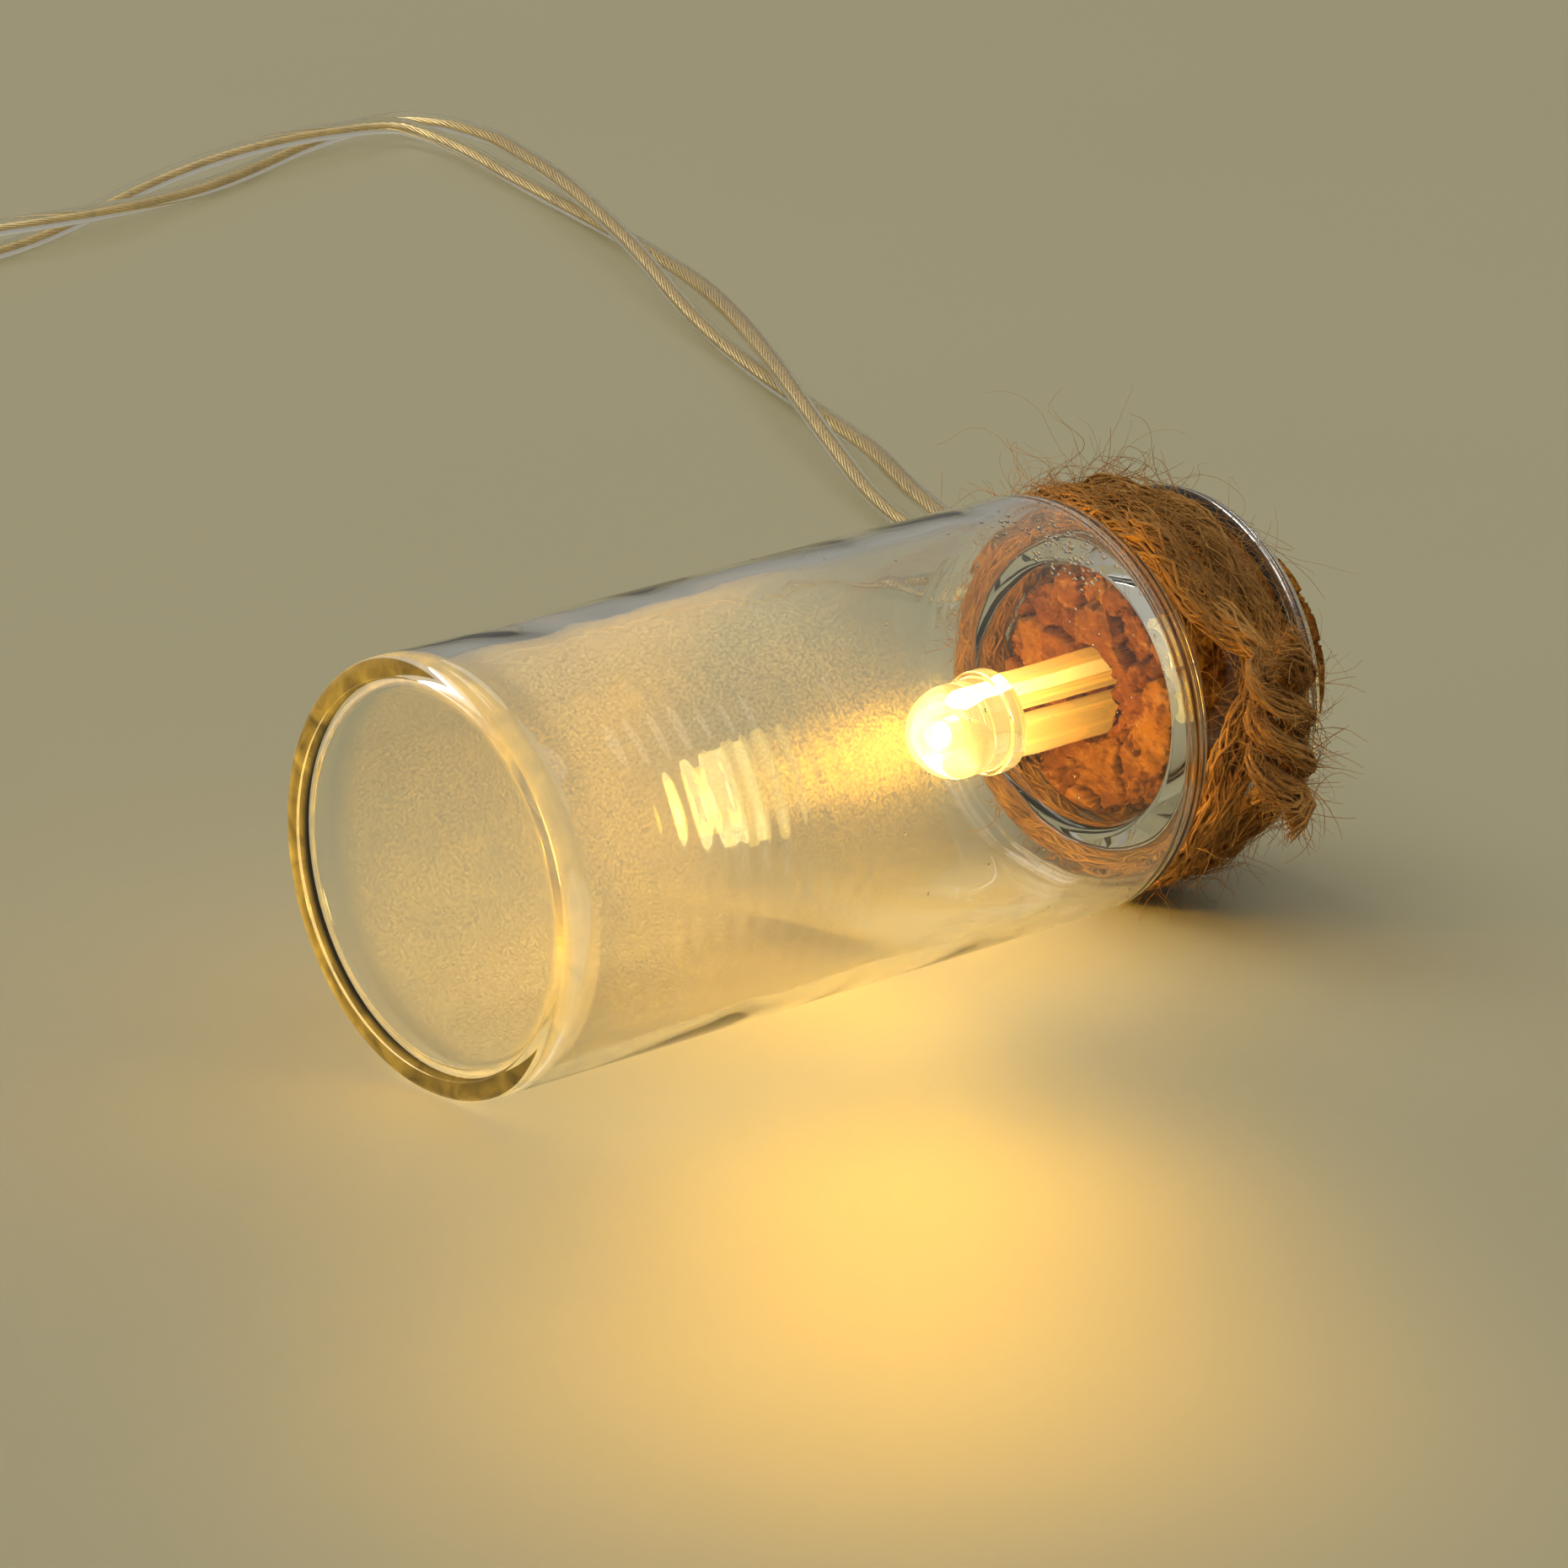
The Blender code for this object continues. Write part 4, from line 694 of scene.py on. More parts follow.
# Cork is pressed from torn granules: each one stands at its own height and leans its own way
def corkPiece():
    source = bpy.data.objects["cork_stopper"]
    piece = bpy.data.objects.new("cork_body", source.data.copy())
    bpy.context.scene.collection.objects.link(piece)
    only(piece)
    bpy.ops.object.mode_set(mode="EDIT")
    bpy.ops.mesh.select_all(action="SELECT")
    bpy.ops.mesh.remove_doubles(threshold=0.002 * mm)
    bpy.ops.object.mode_set(mode="OBJECT")
    grid = piece.modifiers.new("fine grid", "REMESH")
    grid.mode = "VOXEL"
    grid.voxel_size = corkLook["voxel"]
    bpy.ops.object.modifier_apply(modifier=grid.name)
    noise.seed_set(corkLook["seed"])  # noise_vector starts from the clock without it
    low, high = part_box("cork_stopper")
    widest = (high[1] - low[1]) / 2
    moved, tones, dark = [], [], []
    for vertex in piece.data.vertices:
        point, normal = vertex.co.copy(), vertex.normal.copy()
        radius = math.hypot(point.y - axisY, point.z - axisZ)
        torn = noise.noise_vector(point / (1.0 * mm)) + noise.noise_vector(point / (0.33 * mm)) * 0.45
        shaken = point + torn * corkLook["warp"]
        near, cells = noise.voronoi(shaken / corkLook["granule"])
        own = noise.cell(cells[0] * 7.31)
        height = noise.cell(cells[0] * 3.77 + Vector((5.0, 1.0, 9.0)))
        lean = noise.cell_vector(cells[0] * 5.13) * 2 - Vector((1, 1, 1))
        slope = (shaken - cells[0] * corkLook["granule"]).dot(lean) * corkLook["slope"]
        seam = max(0.0, 1 - (near[1] - near[0]) / corkLook["seamWidth"])
        fine = noise.fractal(point / (0.5 * mm), 0.6, 2.2, 5)
        ridged = 1 - abs(noise.fractal(point / (0.8 * mm) + Vector((4.0, 8.0, 2.0)), 0.8, 2.1, 3)) * 2.2
        nearFace = max(0.0, 1 - (point.x - low[0]) / (1.2 * mm))
        nearRim = max(0.0, 1 - (widest - radius) / (1.3 * mm)) * nearFace
        broken = noise.fractal(point / (1.0 * mm) + Vector((9.0, 2.0, 5.0)), 0.9, 2.0, 2) + 0.2
        chip = min(1.0, max(0.0, broken) * 1.5)
        share = 0.3 + 0.7 * nearFace
        depth = (slope - corkLook["step"] * height) * share - corkLook["seam"] * seam * (0.3 + 0.7 * height)
        uneven = fine - 0.4 + 0.6 * (max(0.0, ridged) - 0.5)
        depth += corkLook["rough"] * uneven - corkLook["chip"] * chip * nearRim
        moved.append(point + normal * min(depth, 0.02 * mm))
        tones.append(own)
        # Painted shade in the seams between granules (more round sunken ones) and in low hollows, which also
        # stands for the darker joints between granules, and thin dark lines
        shadow = 0.8 * seam * (0.3 + height) + max(0.0, -0.45 * fine) + max(0.0, ridged - 0.86) * 1.5
        dark.append(min(1.0, shadow))
    for vertex, point in zip(piece.data.vertices, moved):
        vertex.co = point
    for name, values in (("paintedCreviceShade", dark), ("granule", tones)):
        piece.data.attributes.new(name, "FLOAT", "POINT").data.foreach_set("value", values)
    bpy.ops.object.shade_smooth()
    return piece


finishPiece(corkPiece(), "cork_lead_and_box", corkFinish, ("cork_stopper",))
print("cork cut")


# The lit LED: a clear lens with its flange over the cup, the chip and the two leads
led = {
    "back": 36.5 * mm, "radius": 2.4 * mm, "side": 1.7 * mm, "flangeRadius": 2.7 * mm, "flange": 0.9 * mm,
    "edge": 0.12 * mm, "chip": 3.2 * mm, "lamp": 3.4 * mm, "sleeveStart": 0.3 * mm,
    "sleeveBore": 0.55 * mm, "sleeveRadius": 1.05 * mm, "sleeveLength": 9.7 * mm, "spacing": 2.5 * mm,
    # sleeveGlow and leadGlow set the painted glow of the sleeves and leads
    "sideGlow": 0.16, "tipGlow": 1.3, "chipGlow": 35.0, "sleeveGlow": 0.62, "leadGlow": 2.0,
    # The Mirrored pairs set the painted reflection's boost after one and two glossy bounces
    "lensMirrored": (32.0, 900.0), "sleeveMirrored": (2.0, 20.0),
}


# Painted reflection: seen by a reflected ray, the emission is whiter and many times brighter, so what is lit
# shows brighter in the jar's wall than straight on, where it would only clip
def paintedReflectionBoost(tree, shader, color, once, twice):
    path = addNode(tree, "LightPath")
    early = addNode(tree, "Math", {0: path.outputs["Transmission Depth"], 1: 2.5}, operation="LESS_THAN")
    mirrored = times(tree, path.outputs["Is Reflection Ray"], early.outputs[0])
    bounced = mapped(tree, path.outputs["Glossy Depth"], 1.0, 2.0, once - 1, twice - 1)
    level = addNode(tree, "Math", {0: bounced, 1: mirrored, 2: 1.0}, operation="MULTIPLY_ADD").outputs[0]
    whiter = mixColors(tree, mirrored, color, (1.0, 1.06, 1.12), "MULTIPLY")
    made = addNode(tree, "VectorMath", {0: whiter, "Scale": level}, operation="SCALE")
    tree.links.new(made.outputs[0], shader.inputs["Emission Color"])


# Painted glow (emission) that fades along X from the LED's tip towards the cork, so that the lit pieces look
# filled with light; it also gets the painted reflection boost
def fadingGlow(tree, shader, bright, dim, brightX, dimX, levels, mirrored):
    place = addNode(tree, "TexCoord").outputs["Object"]
    split = addNode(tree, "SeparateXYZ", {0: place})
    near = mapped(tree, split.outputs["X"], base + dimX, base + brightX)
    curved = addNode(tree, "Math", {0: near, 1: 1.7}, operation="POWER").outputs[0]
    color = mixColors(tree, curved, dim, bright)
    strength = mapped(tree, curved, 0.0, 1.0, *levels)
    scaled = addNode(tree, "VectorMath", {0: color, "Scale": strength}, operation="SCALE")
    paintedReflectionBoost(tree, shader, scaled.outputs[0], *mirrored)
    shader.inputs["Emission Strength"].default_value = 1.0


def litMaterial():
    made, tree, shader = newMaterial("lit lens", Base_Color=(1.0, 0.90, 0.60, 1), Transmission_Weight=1.0,
                                     IOR=1.5, Roughness=0.03)
    fadingGlow(tree, shader, (1.0, 0.84, 0.36), (1.0, 0.60, 0.09), led["back"] - 5.0 * mm, led["back"],
               (led["sideGlow"], led["tipGlow"]), led["lensMirrored"])
    marks = useGroup(tree, handling, 1500.0, 500.0)
    smudgedGloss(tree, shader, marks, 0.05, 0.03)
    letLampsThrough(tree, shader, (1.0, 0.98, 0.92))
    return made


def glowMaterial(name, color, strength):
    made, tree, shader = newMaterial(name, Base_Color=(*color, 1), Roughness=0.5)
    shader.inputs["Emission Color"].default_value = (*color, 1)
    shader.inputs["Emission Strength"].default_value = strength
    surface = useGroup(tree, mouldedGrain, 4000.0, 1500.0)
    uneven = mixColors(tree, surface.outputs["Mottle"], color, tuple(value * 0.8 for value in color))
    # The chip's glow also gets the painted reflection boost
    paintedReflectionBoost(tree, shader, uneven, *led["lensMirrored"])
    return made


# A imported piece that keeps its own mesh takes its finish
def finish(node, material):
    piece = bpy.data.objects[node]
    for slot in piece.material_slots:
        slot.material = material
    if not piece.material_slots:
        piece.data.materials.append(material)


def ledPieces():
    body = "cork_lead_and_box"
    back, radius, edge = led["back"], led["radius"], led["edge"]
    front, flangeMiddle = back - led["flange"], led["flangeRadius"] - edge
    profile = arcPoints((front - led["side"], 0), (radius, radius), 180, 90, 20)
    profile += [(front - 0.1 * mm, radius), (front, radius + 0.06 * mm)]
    profile += arcPoints((front + edge, flangeMiddle), (edge, edge), 180, 90, 3)
    profile += arcPoints((back - edge, flangeMiddle), (edge, edge), 90, 0, 3)
    profile.append((back, 0))
    lens = spunPiece("led_lens_body", profile, 64)
    finishPiece(lens, body, litMaterial(), ("led_lens",))
    chipX = back - led["chip"]
    cup = [(chipX + 0.45 * mm, 0), (chipX + 0.45 * mm, 0.35 * mm), (chipX, 0.55 * mm),
           (chipX - 0.05 * mm, 0.62 * mm), (chipX - 0.05 * mm, 0.70 * mm), (chipX + 0.6 * mm, 0.62 * mm),
           (chipX + 0.6 * mm, 0)]
    finishPiece(spunPiece("led_cup", cup, 32), body, leadFinish)
    chip = [(chipX - 0.05 * mm, 0), (chipX, 0.18 * mm), (chipX + 0.15 * mm, 0.24 * mm),
            (chipX + 0.42 * mm, 0.24 * mm), (chipX + 0.42 * mm, 0)]
    glow = glowMaterial("chip glow", (1.0, 0.80, 0.40), led["chipGlow"])
    finishPiece(spunPiece("led_chip", chip, 24), body, glow)
    for name, side in (("upper", 1), ("lower", -1)):
        start, inner, outer = back + led["sleeveStart"], led["sleeveBore"], led["sleeveRadius"]
        end = start + led["sleeveLength"]
        wall = [(start, inner + edge), (start, outer - edge), (start + edge, outer), (end - edge, outer),
                (end, outer - edge), (end, inner + edge), (end - edge, inner), (start + edge, inner),
                (start, inner + edge)]
        sleeve = spunPiece(f"sleeve_{name}_body", wall, 48, (0.0, side * led["spacing"] / 2))
        finishPiece(sleeve, body, sleeveFinish, (f"sleeve_{name}",))
    # The sleeves get a painted glow (emission) for the LED's light that they carry; they are no lamp
    tree = sleeveFinish.node_tree
    fadingGlow(tree, tree.nodes["Principled BSDF"], (1.0, 0.70, 0.17), (1.0, 0.46, 0.05), back, back + 10 * mm,
               (0.10, led["sleeveGlow"]), led["sleeveMirrored"])
    finish("led_anvil", leadFinish)
    # The leads get a painted glow (emission) that stands for a highlight of the LED's light on them
    paintedGlowLead, tree, shader = newMaterial("lead with painted glow", Base_Color=(0.80, 0.78, 0.74, 1), Metallic=1.0,
                                           Roughness=0.25)
    fadingGlow(tree, shader, (1.0, 0.90, 0.60), (1.0, 0.70, 0.25), back, back + 11 * mm,
               (0.15, led["leadGlow"]), led["sleeveMirrored"])
    finish("led_post", paintedGlowLead)


ledPieces()
print("LED lit")


# The twine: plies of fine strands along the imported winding's line, and loose fibres
twine = {
    "radius": 1.2 * mm, "knotRadius": 0.75 * mm, "spacing": 0.45 * mm, "knotSpacing": 0.7 * mm,
    "knotLength": 6.8 * mm, "halfTurns": 3, "legAngle": 40, "shiftAngle": 24, "tail": 1.3 * mm,
    "knotOffset": 1.3 * mm, "turned": 5.0,
    "plyPitch": 15.0 * mm, "plies": 2, "plySize": 0.62, "strands": 44, "strandRadius": 0.085 * mm,
    "step": 0.6 * mm, "shortest": 14 * mm, "longest": 52 * mm, "fray": 2.4 * mm, "fuzz": 1900, "flyaways": 80,
    "tuft": 90, "seed": 7, "gap": 0.3 * mm, "corkRadius": 6.9 * mm,
    "wisps": [(118, 43.2 * mm, 0.42), (95, 45.6 * mm, 0.30), (66, 44.6 * mm, -0.40)], "wispFibres": 34,
}


def twineRows():
    neckRadius, gap = jar["neckRadius"], twine["gap"]
    radius, knotRadius = twine["radius"], twine["knotRadius"]
    wrapRadius = neckRadius + gap + radius
    firstTurn = jar["side"] + jar["shoulder"] + gap + radius
    secondTurn = firstTurn + 2 * radius + twine["spacing"]
    orbit = knotRadius + twine["knotSpacing"] / 2
    height = wrapRadius + radius + twine["spacing"] + orbit + knotRadius
    middle = (firstTurn + secondTurn) / 2 - twine["knotOffset"]
    half, tail = twine["knotLength"] / 2, twine["tail"]

    def wrap(angle, x, at=wrapRadius, strand=radius):
        a = math.radians(angle)
        return (x, at * math.cos(a), at * math.sin(a), strand)

    def knot(up, turn):
        a = math.radians(turn)
        return (middle + orbit * math.sin(a), height + orbit * math.cos(a), up, knotRadius)

    twist, steps = 180 * twine["halfTurns"], 5 * twine["halfTurns"]
    stations = [i / steps for i in range(steps + 1)]
    first = [knot(half * (2 * s - 1), 180 + twist * (1 - s)) for s in stations]
    last = [knot(half * (2 * s - 1), twist * (1 - s)) for s in stations]
    firstTail = [(middle - 0.70 * tail, height + 0.9 * orbit, -half - 0.55 * tail, radius * 0.9),
                 (middle - 0.25 * tail, height + 1.4 * orbit, -half - 0.40 * tail, knotRadius)]
    lastTail = [(middle - 0.20 * tail, height + 1.3 * orbit, half + 0.40 * tail, knotRadius),
                (middle - 0.65 * tail, height + 0.8 * orbit, half + 0.70 * tail, radius * 0.9)]
    leg, shift, step = twine["legAngle"], twine["shiftAngle"], 15
    lifted = (wrapRadius + 0.7 * radius, (radius + knotRadius) / 2)
    turns = [wrap(leg - 0.75 * step, firstTurn, *lifted)]
    angle = float(leg)
    while angle <= 720 - leg:
        part = min(max((angle - 360 + shift) / (2 * shift), 0.0), 1.0)
        part = part * part * (3 - 2 * part)
        turns.append(wrap(angle, firstTurn + (secondTurn - firstTurn) * part))
        angle += step if abs(angle - 360) > leg else step / 3
    turns.append(wrap(720 - leg + 0.75 * step, secondTurn, *lifted))
    c, s = math.cos(math.radians(twine["turned"])), math.sin(math.radians(twine["turned"]))
    rows = firstTail + first + turns + last + lastTail
    return [(base + x, axisY - (out * c - up * s), axisZ + (out * s + up * c), r) for x, out, up, r in rows]


# How far out from its axis the jar reaches at one place, or the cork past the lip
def glassRadiusAt(x):
    fromBase, neckStart = x - base, jar["side"] + jar["shoulder"]
    if fromBase < jar["side"]:
        return jar["radius"]
    if fromBase < neckStart:
        part = (fromBase - jar["side"]) / jar["shoulder"]
        return jar["neckRadius"] + (jar["radius"] - jar["neckRadius"]) * math.sqrt(max(0.0, 1 - part * part))
    if fromBase < neckStart + jar["neck"]:
        return jar["neckRadius"]
    return jar["lipRadius"] if fromBase < neckStart + jar["neck"] + jar["lip"] else twine["corkRadius"]


def twineStrands(line, size, side, other, chance):
    run = along(line)
    total, step = run[-1], run[1]
    ends = np.clip(1 - np.minimum(run, total - run) / twine["fray"], 0, 1) ** 1.5

    def wave(shortest, longest):
        length = chance.uniform(shortest, longest) * mm
        return np.sin(run / length * 2 * math.pi + chance.uniform(0, 2 * math.pi))

    cores, strands = [], []
    for ply in range(twine["plies"]):
        turn = run / twine["plyPitch"] * 2 * math.pi + ply * 2 * math.pi / twine["plies"]
        around = np.cos(turn)[:, None] * side + np.sin(turn)[:, None] * other
        plyLine = line + (size * (1 - twine["plySize"]))[:, None] * around
        cores.append((plyLine, size * twine["plySize"] * 0.62 * (1 - 0.6 * ends), 2))
        for _ in range(twine["strands"]):
            start = -chance.uniform(0, twine["longest"])
            angle = chance.uniform(0, 2 * math.pi) - turn * chance.uniform(0.7, 1.2)
            angle = angle + 0.6 * wave(6, 15) + 0.35 * wave(2.5, 5)
            share = 0.42 + 0.55 * math.sqrt(chance.random()) + 0.16 * wave(5, 12) + 0.08 * wave(2, 4)
            share = share + ends * chance.uniform(-0.2, 1.2)
            reach = (size * twine["plySize"] * np.clip(share, 0.2, 2.2))[:, None]
            points = plyLine + reach * (np.cos(angle)[:, None] * side + np.sin(angle)[:, None] * other)
            while start < total:
                end = start + chance.uniform(twine["shortest"], twine["longest"])
                first, last = max(0, int(start / step)), min(len(points), int(end / step))
                start = end - chance.uniform(0.0, 2.0) * mm
                if last - first < 6:
                    continue
                thick = twine["strandRadius"] * chance.uniform(0.55, 1.35) * np.ones(last - first)
                thick[[0, -1]] *= 0.35
                # Strands in the knot are mostly dark jute, so the knot is darker than the turns
                knotted = size[(first + last) // 2] < 0.9 * twine["radius"]
                shade = chance.choice((0, 2, 2, 2, 2, 2) if knotted else (0, 0, 1, 2, 2))
                strands.append((points[first:last], thick, shade))
    return cores, strands


# How far out from the jar's axis the glass and the wound twine reach at one place
def reachAt(x):
    gap, radius = twine["gap"], twine["radius"]
    first = base + jar["side"] + jar["shoulder"] + gap + radius
    reach = glassRadiusAt(x)
    for middle in (first, first + 2 * radius + twine["spacing"]):
        if abs(x - middle) < radius:
            bulge = math.sqrt(radius ** 2 - (x - middle) ** 2)
            reach = max(reach, jar["neckRadius"] + gap + radius + bulge - 0.05 * mm)
    return reach


# One loose fibre, which curls, and slides over the glass, the twine and the table where it meets them
def fibreLine(start, heading, reach, count, curl, chance, sway=0.12, lying=False):
    place, points = Vector(start), []
    axis = Vector((chance.uniform(-1, 1), chance.uniform(-1, 1), chance.uniform(-1, 1))).normalized()
    turn = Matrix.Rotation(curl / count, 3, axis)
    for _ in range(count):
        out = Vector((0, place.y - axisY, place.z - axisZ))
        need = (reachAt(place.x) if lying else glassRadiusAt(place.x)) + 0.07 * mm
        if out.length < need:
            push = out.normalized() * need
            place = Vector((place.x, axisY + push.y, axisZ + push.z))
        place.z = max(place.z, 0.06 * mm)
        points.append(tuple(place))
        place = place + heading * reach / (count - 1)
        shake = Vector((chance.uniform(-1, 1), chance.uniform(-1, 1), chance.uniform(-1, 1))) * sway
        heading = (turn @ heading + shake).normalized()
        if lying:
            out = Vector((0, place.y - axisY, place.z - axisZ)).normalized()
            heading = (heading - out * (heading.dot(out) + 0.06)).normalized()
    return np.array(points)


def looseFibres(line, size, ahead, side, other, chance):
    loose = []

    def add(start, heading, reach, count, curl, thick, **more):
        points = fibreLine(start, heading, reach * mm, count, curl, chance, **more)
        loose.append((points, thick * mm * np.linspace(1.0, 0.4, len(points)), chance.choice((0, 1, 1))))

    while len(loose) < twine["fuzz"]:
        i = chance.randrange(2, len(line) - 2)
        a = chance.uniform(0, 2 * math.pi)
        out = Vector(math.cos(a) * side[i] + math.sin(a) * other[i])
        start = Vector(line[i]) + out * size[i] * 0.9
        away = Vector((0, start.y - axisY, start.z - axisZ)).normalized()
        if out.dot(away) < -0.2 or start.z < 0.3 * mm:
            continue
        lift = chance.uniform(-0.05, 0.22) if chance.random() < 0.965 else chance.uniform(0.25, 0.6)
        heading = (out * lift + Vector(ahead[i]) * chance.choice((-1, 1))).normalized()
        add(start, heading, chance.uniform(1.2, 4.6), 9, chance.uniform(0.3, 3.6), chance.uniform(0.014, 0.030))
    # long curly hairs that stand off the top
    while len(loose) < twine["fuzz"] + twine["flyaways"]:
        i = chance.randrange(2, len(line) - 2)
        away = Vector((0, line[i][1] - axisY, line[i][2] - axisZ)).normalized()
        if away.z < 0.2 or chance.random() > away.z or size[i] < 0.95 * twine["radius"]:
            continue
        start = Vector(line[i]) + away * size[i] * 0.9
        heading = (away * chance.uniform(0.05, 0.6) + Vector(ahead[i]) * chance.choice((-1, 1))
                   + Vector((chance.uniform(-1.0, 0.4), 0, 0))).normalized()
        add(start, heading, chance.uniform(4.0, 10.0), 22, chance.uniform(3.0, 9.0),
            chance.uniform(0.013, 0.021), sway=0.22)
    # wisps that lie slantwise over the turns and the shoulder
    for angle, fromBase, lean in twine["wisps"]:
        for _ in range(twine["wispFibres"]):
            a, x = math.radians(angle) + chance.gauss(0, 0.10), base + fromBase + chance.gauss(0, 0.55) * mm
            out = Vector((0, math.cos(a), math.sin(a)))
            start = Vector((x, axisY, axisZ)) + out * (reachAt(x) + chance.uniform(0.05, 0.35) * mm)
            tangent = Vector((0, math.sin(a), -math.cos(a))) * -1
            heading = (tangent + Vector((lean + chance.gauss(0, 0.22), 0, 0))).normalized()
            add(start, heading, chance.uniform(5.0, 14.0), 20, chance.uniform(-0.9, 0.9),
                chance.uniform(0.013, 0.026), sway=0.10, lying=True)
    # the cut ends fray into small tufts
    for end, step in ((1, -1), (len(line) - 2, 1)):
        for _ in range(twine["tuft"]):
            a = chance.uniform(0, 2 * math.pi)
            out = Vector(math.cos(a) * side[end] + math.sin(a) * other[end])
            start = Vector(line[end]) + out * size[end] * chance.uniform(0.1, 0.8)
            heading = (Vector(ahead[end]) * step * 0.7 + out * chance.uniform(0.2, 1.1)).normalized()
            add(start, heading, chance.uniform(0.7, 2.0), 7, chance.uniform(0.3, 3.0),
                chance.uniform(0.02, 0.04))
    return loose


def twinePieces():
    chance = random.Random(twine["seed"])
    rows = evenly(through(twineRows(), 8), twine["step"])
    line, size = rows[:, :3], rows[:, 3]
    ahead, side, other = sideways(line)
    cores, strands = twineStrands(line, size, side, other, chance)
    half = len(strands) // 2
    loose = looseFibres(line, size, ahead, side, other, chance)
    for name, lines, stands in (("twine_body", cores + strands[:half], ("twine_wrap",)),
                                ("twine_strands", strands[half:], ()), ("twine_fuzz", loose, ())):
        piece = asMesh(strandPiece(name, lines))
        for material in juteFinishes:
            piece.data.materials.append(material)
        finishPiece(piece, "jar", None, stands)
        print(name, len(piece.data.polygons), "faces")


twinePieces()
print("twine tied")


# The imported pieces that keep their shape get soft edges
def softenEdges(node, width, segments=2, angle=32):
    piece = bpy.data.objects[node]
    weld = piece.modifiers.new("joined faces", "WELD")
    weld.merge_threshold = 0.002 * mm
    flat = piece.modifiers.new("flat faces", "DECIMATE")
    flat.decimate_type = "DISSOLVE"
    flat.angle_limit = math.radians(1.5)
    soft = piece.modifiers.new("soft edges", "BEVEL")
    soft.width = width
    soft.segments = segments
    soft.limit_method = "ANGLE"
    soft.angle_limit = math.radians(angle)
    soft.harden_normals = True
    soft.use_clamp_overlap = True


cell = {
    "nubRadius": 2.7 * mm, "nub": 1.3 * mm, "dish": 0.3 * mm, "rim": 0.6 * mm, "sleeve": 0.08 * mm,
    "fold": 1.1 * mm, "band": 15.0 * mm, "round": 0.25 * mm,
}


# An AA cell: a bare can with its nub, in a plain sleeve and band that are shrunk over its ends
def cellPieces(node, facing):
    low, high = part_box(node)
    radius, length = (high[1] - low[1]) / 2, high[0] - low[0]
    offset = ((low[1] + high[1]) / 2 - axisY, (low[2] + high[2]) / 2 - axisZ)
    can, skin, soft, nub = length - cell["nub"], cell["sleeve"], cell["round"], cell["nubRadius"]

    def spun(part, profile, material, stands=()):
        start = low[0] if facing > 0 else high[0]
        placed = [(start + facing * x - base, r) for x, r in profile]
        piece = spunPiece(f"{node}_{part}", placed, 72, offset, 35)
        finishPiece(piece, "cork_lead_and_box", material, stands)
        return piece

    bare = radius - skin
    dish, rimmed = cell["dish"], bare - cell["rim"]
    profile = [(0, 0), (0, 0.66 * radius), (dish, 0.72 * radius), (dish, bare - 2 * cell["rim"]),
               (0.02 * mm, rimmed), (0.12 * mm, bare - 0.3 * mm), (0.5 * mm, bare), (can - 0.5 * mm, bare),
               (can - 0.12 * mm, bare - 0.3 * mm), (can - 0.02 * mm, rimmed),
               (can - dish, bare - 2 * cell["rim"]), (can - dish, nub + 0.5 * mm),
               (can - 0.1 * mm, nub + 0.1 * mm), (can + 0.2 * mm, nub), (length - soft, nub),
               (length - 0.3 * soft, nub - 0.3 * soft), (length, nub - soft), (length, 0)]
    bareCan = spun("can", profile, nickelFinish, (node,))

    # A sleeve runs from its plain end to the end that it is shrunk over
    def sleeve(plain, folded):
        way = 1 if folded > plain else -1
        return [(plain, bare), (plain, radius), (folded - way * soft, radius),
                (folded - way * 0.3 * soft, radius - 0.3 * soft), (folded, radius - soft),
                (folded, radius - cell["fold"]), (folded - way * skin, radius - cell["fold"]),
                (folded - way * skin, bare - soft), (folded - way * (skin + soft), bare), (plain, bare)]

    return [bareCan, spun("sleeve", sleeve(can - cell["band"], 0.0), cellFinish),
            spun("band", sleeve(can - cell["band"], can), bandFinish)]


# What hangs on each wire; both cells lie nearer to the end of wire b
onTheCord = {
    "a": ["coil_tie_near", "coil_tie_far", "battery_case", "battery_door", "strain_relief", "switch_body",
          "switch_knob", "resistor", "switch_pin_a", "switch_pin_b", "switch_pin_c", "switch_link",
          "positive_plate", "spring_a", "bridge_plate"],
    "b": [*cellPieces("cell_a", 1), *cellPieces("cell_b", -1), "negative_plate", "spring_b"],
}

boxFinishes = {
    "battery_case": (whitePlastic, 0.18 * mm), "battery_door": (whitePlastic, 0.12 * mm),
    "switch_body": (blackPlastic, 0.1 * mm), "switch_knob": (blackPlastic, 0.1 * mm),
    "strain_relief": (rubberFinish, 0.12 * mm),
    "bridge_plate": (nickelFinish, 0.06 * mm), "positive_plate": (nickelFinish, 0.06 * mm),
    "negative_plate": (nickelFinish, 0.06 * mm), "spring_a": (springFinish, 0.0),
    "spring_b": (springFinish, 0.0),
    "switch_pin_a": (leadFinish, 0.04 * mm), "switch_pin_b": (leadFinish, 0.04 * mm),
    "switch_pin_c": (leadFinish, 0.04 * mm), "switch_link": (redFinish, 0.0), "resistor": (resistorFinish, 0.0),
    "coil_tie_near": (tieFinish, 0.08 * mm), "coil_tie_far": (tieFinish, 0.08 * mm),
}
for node, (material, width) in boxFinishes.items():
    finish(node, material)
    if width:
        softenEdges(node, width)
print("box finished")


studio = {
    "floor": (0.29, 0.262, 0.158),
    "world": (1.0, 0.95, 0.83), "worldStrength": 0.50, "horizon": 0.55, "overhead": 1.05,
    "lamps": [("key", (-0.15, 0.55, 0.90), 0.9, 6.4), ("fill", (0.10, -0.45, 0.95), 1.1, 4.2)],
    "glowColor": (1.0, 0.545, 0.015), "glow": 0.0095, "beam": (0.036, 165),
    "pool": [((-17 * mm, -22 * mm, 19 * mm), 0.034), ((-32 * mm, -37 * mm, 26 * mm), 0.047)],
    "poolCone": 120, "poolAim": (-0.12, -0.12, -1), "lampRadius": 1.6 * mm, "aimedAt": (0.02, 0.02, 0.01),
}


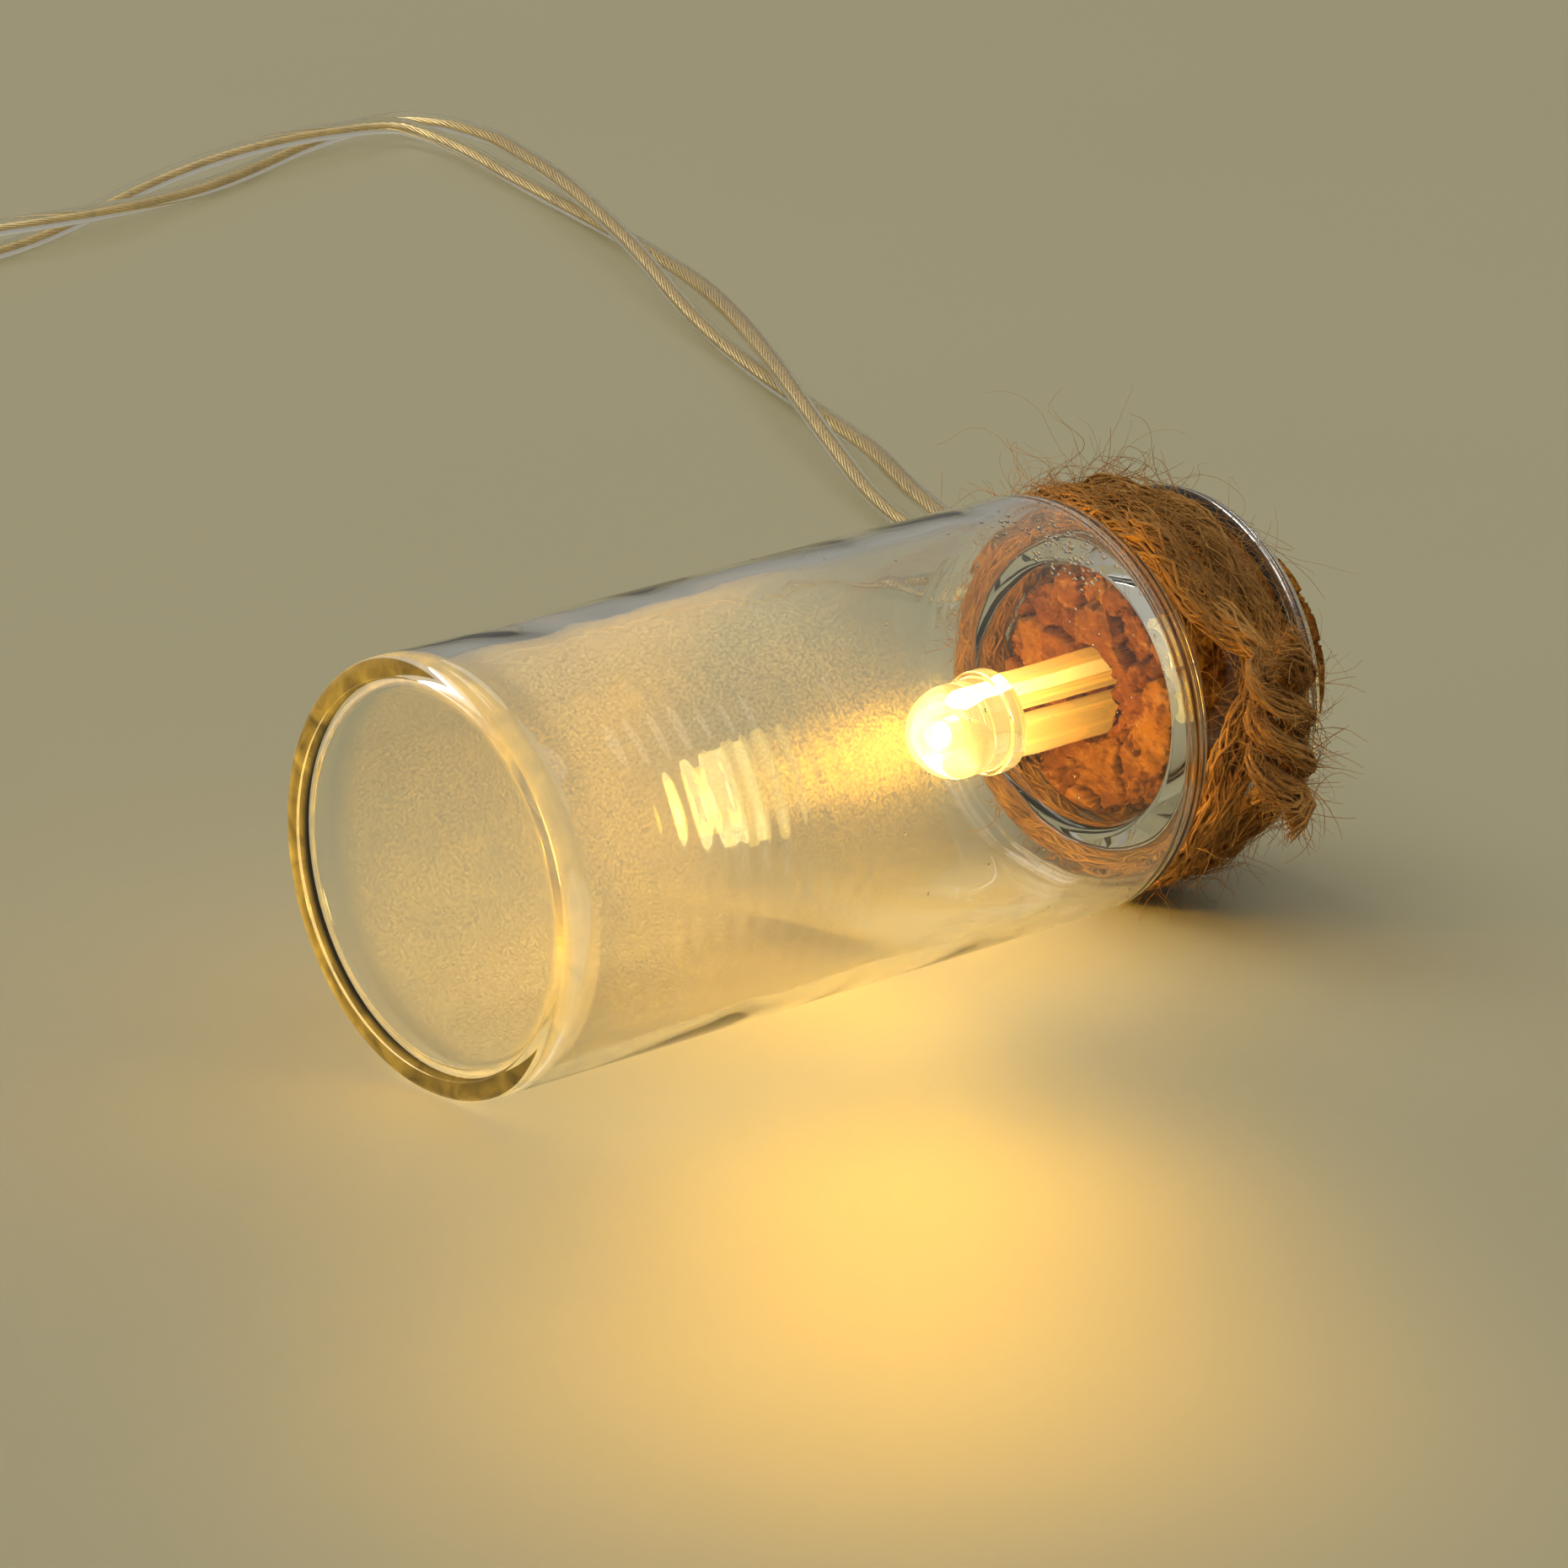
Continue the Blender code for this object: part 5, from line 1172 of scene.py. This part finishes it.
def floorMaterial():
    made, tree, shader = newMaterial("pale table", Roughness=0.5)
    surface = useGroup(tree, mouldedGrain, 900.0, 14.0)
    shade = tuple(value * 0.95 for value in studio["floor"])
    mottled = mixColors(tree, surface.outputs["Mottle"], studio["floor"], shade)
    tree.links.new(mottled, shader.inputs["Base Color"])
    rough = mapped(tree, surface.outputs["Mottle"], 0.3, 0.7, 0.47, 0.54)
    tree.links.new(rough, shader.inputs["Roughness"])
    bumped(tree, shader, surface.outputs["Height"], 0.04, 0.02 * mm)
    return made


deselect()
bpy.ops.mesh.primitive_plane_add(size=6, location=(0, 0, 0))
floor = bpy.context.active_object
floor.name = "table"
floor.data.materials.append(floorMaterial())

world = bpy.data.worlds.new("soft room")
world.use_nodes = True
bpy.context.scene.world = world
tree = world.node_tree
background = tree.nodes["Background"]
direction = addNode(tree, "TexCoord").outputs["Generated"]
up = addNode(tree, "SeparateXYZ", {0: direction}).outputs["Z"]
level = mapped(tree, up, 0.0, 1.0, studio["horizon"], studio["overhead"])
tinted = addNode(tree, "VectorMath", {0: studio["world"], "Scale": level}, operation="SCALE")
tree.links.new(tinted.outputs[0], background.inputs["Color"])
background.inputs["Strength"].default_value = studio["worldStrength"]


def addLamp(name, kind, place, aim, power, **settings):
    data = bpy.data.lights.new(name, kind)
    data.energy = power
    for key, value in settings.items():
        setattr(data, key, value)
    lamp = bpy.data.objects.new(name, data)
    lamp.location = place
    lamp.rotation_euler = Vector(aim).to_track_quat("-Z", "Y").to_euler()
    lamp.visible_glossy = False  # the glass mirrors the even room and the lens, not the lamps' discs
    bpy.context.scene.collection.objects.link(lamp)


for name, place, size, power in studio["lamps"]:
    aim = Vector(studio["aimedAt"]) - Vector(place)
    addLamp(f"{name}_lamp", "AREA", place, aim, power, shape="DISK", size=size)

# The LED throws its light forwards and a little all round, and the jar gathers some into a pool on the table
glowing = {"color": studio["glowColor"], "shadow_soft_size": studio["lampRadius"]}
ledPlace = (base + led["back"] - led["lamp"], axisY, axisZ)
addLamp("led_glow", "POINT", ledPlace, (-1, 0, 0), studio["glow"], **glowing)
spots = [("led_beam", ledPlace, (-1, 0, 0), *studio["beam"])]
spots += [(f"pool_{i + 1}", place, studio["poolAim"], power, studio["poolCone"])
          for i, (place, power) in enumerate(studio["pool"])]
for name, place, aim, power, cone in spots:
    addLamp(name, "SPOT", place, aim, power, spot_size=math.radians(cone), spot_blend=1.0, **glowing)

view = bpy.context.scene.view_settings
view.view_transform = "Standard"
print("studio lit")
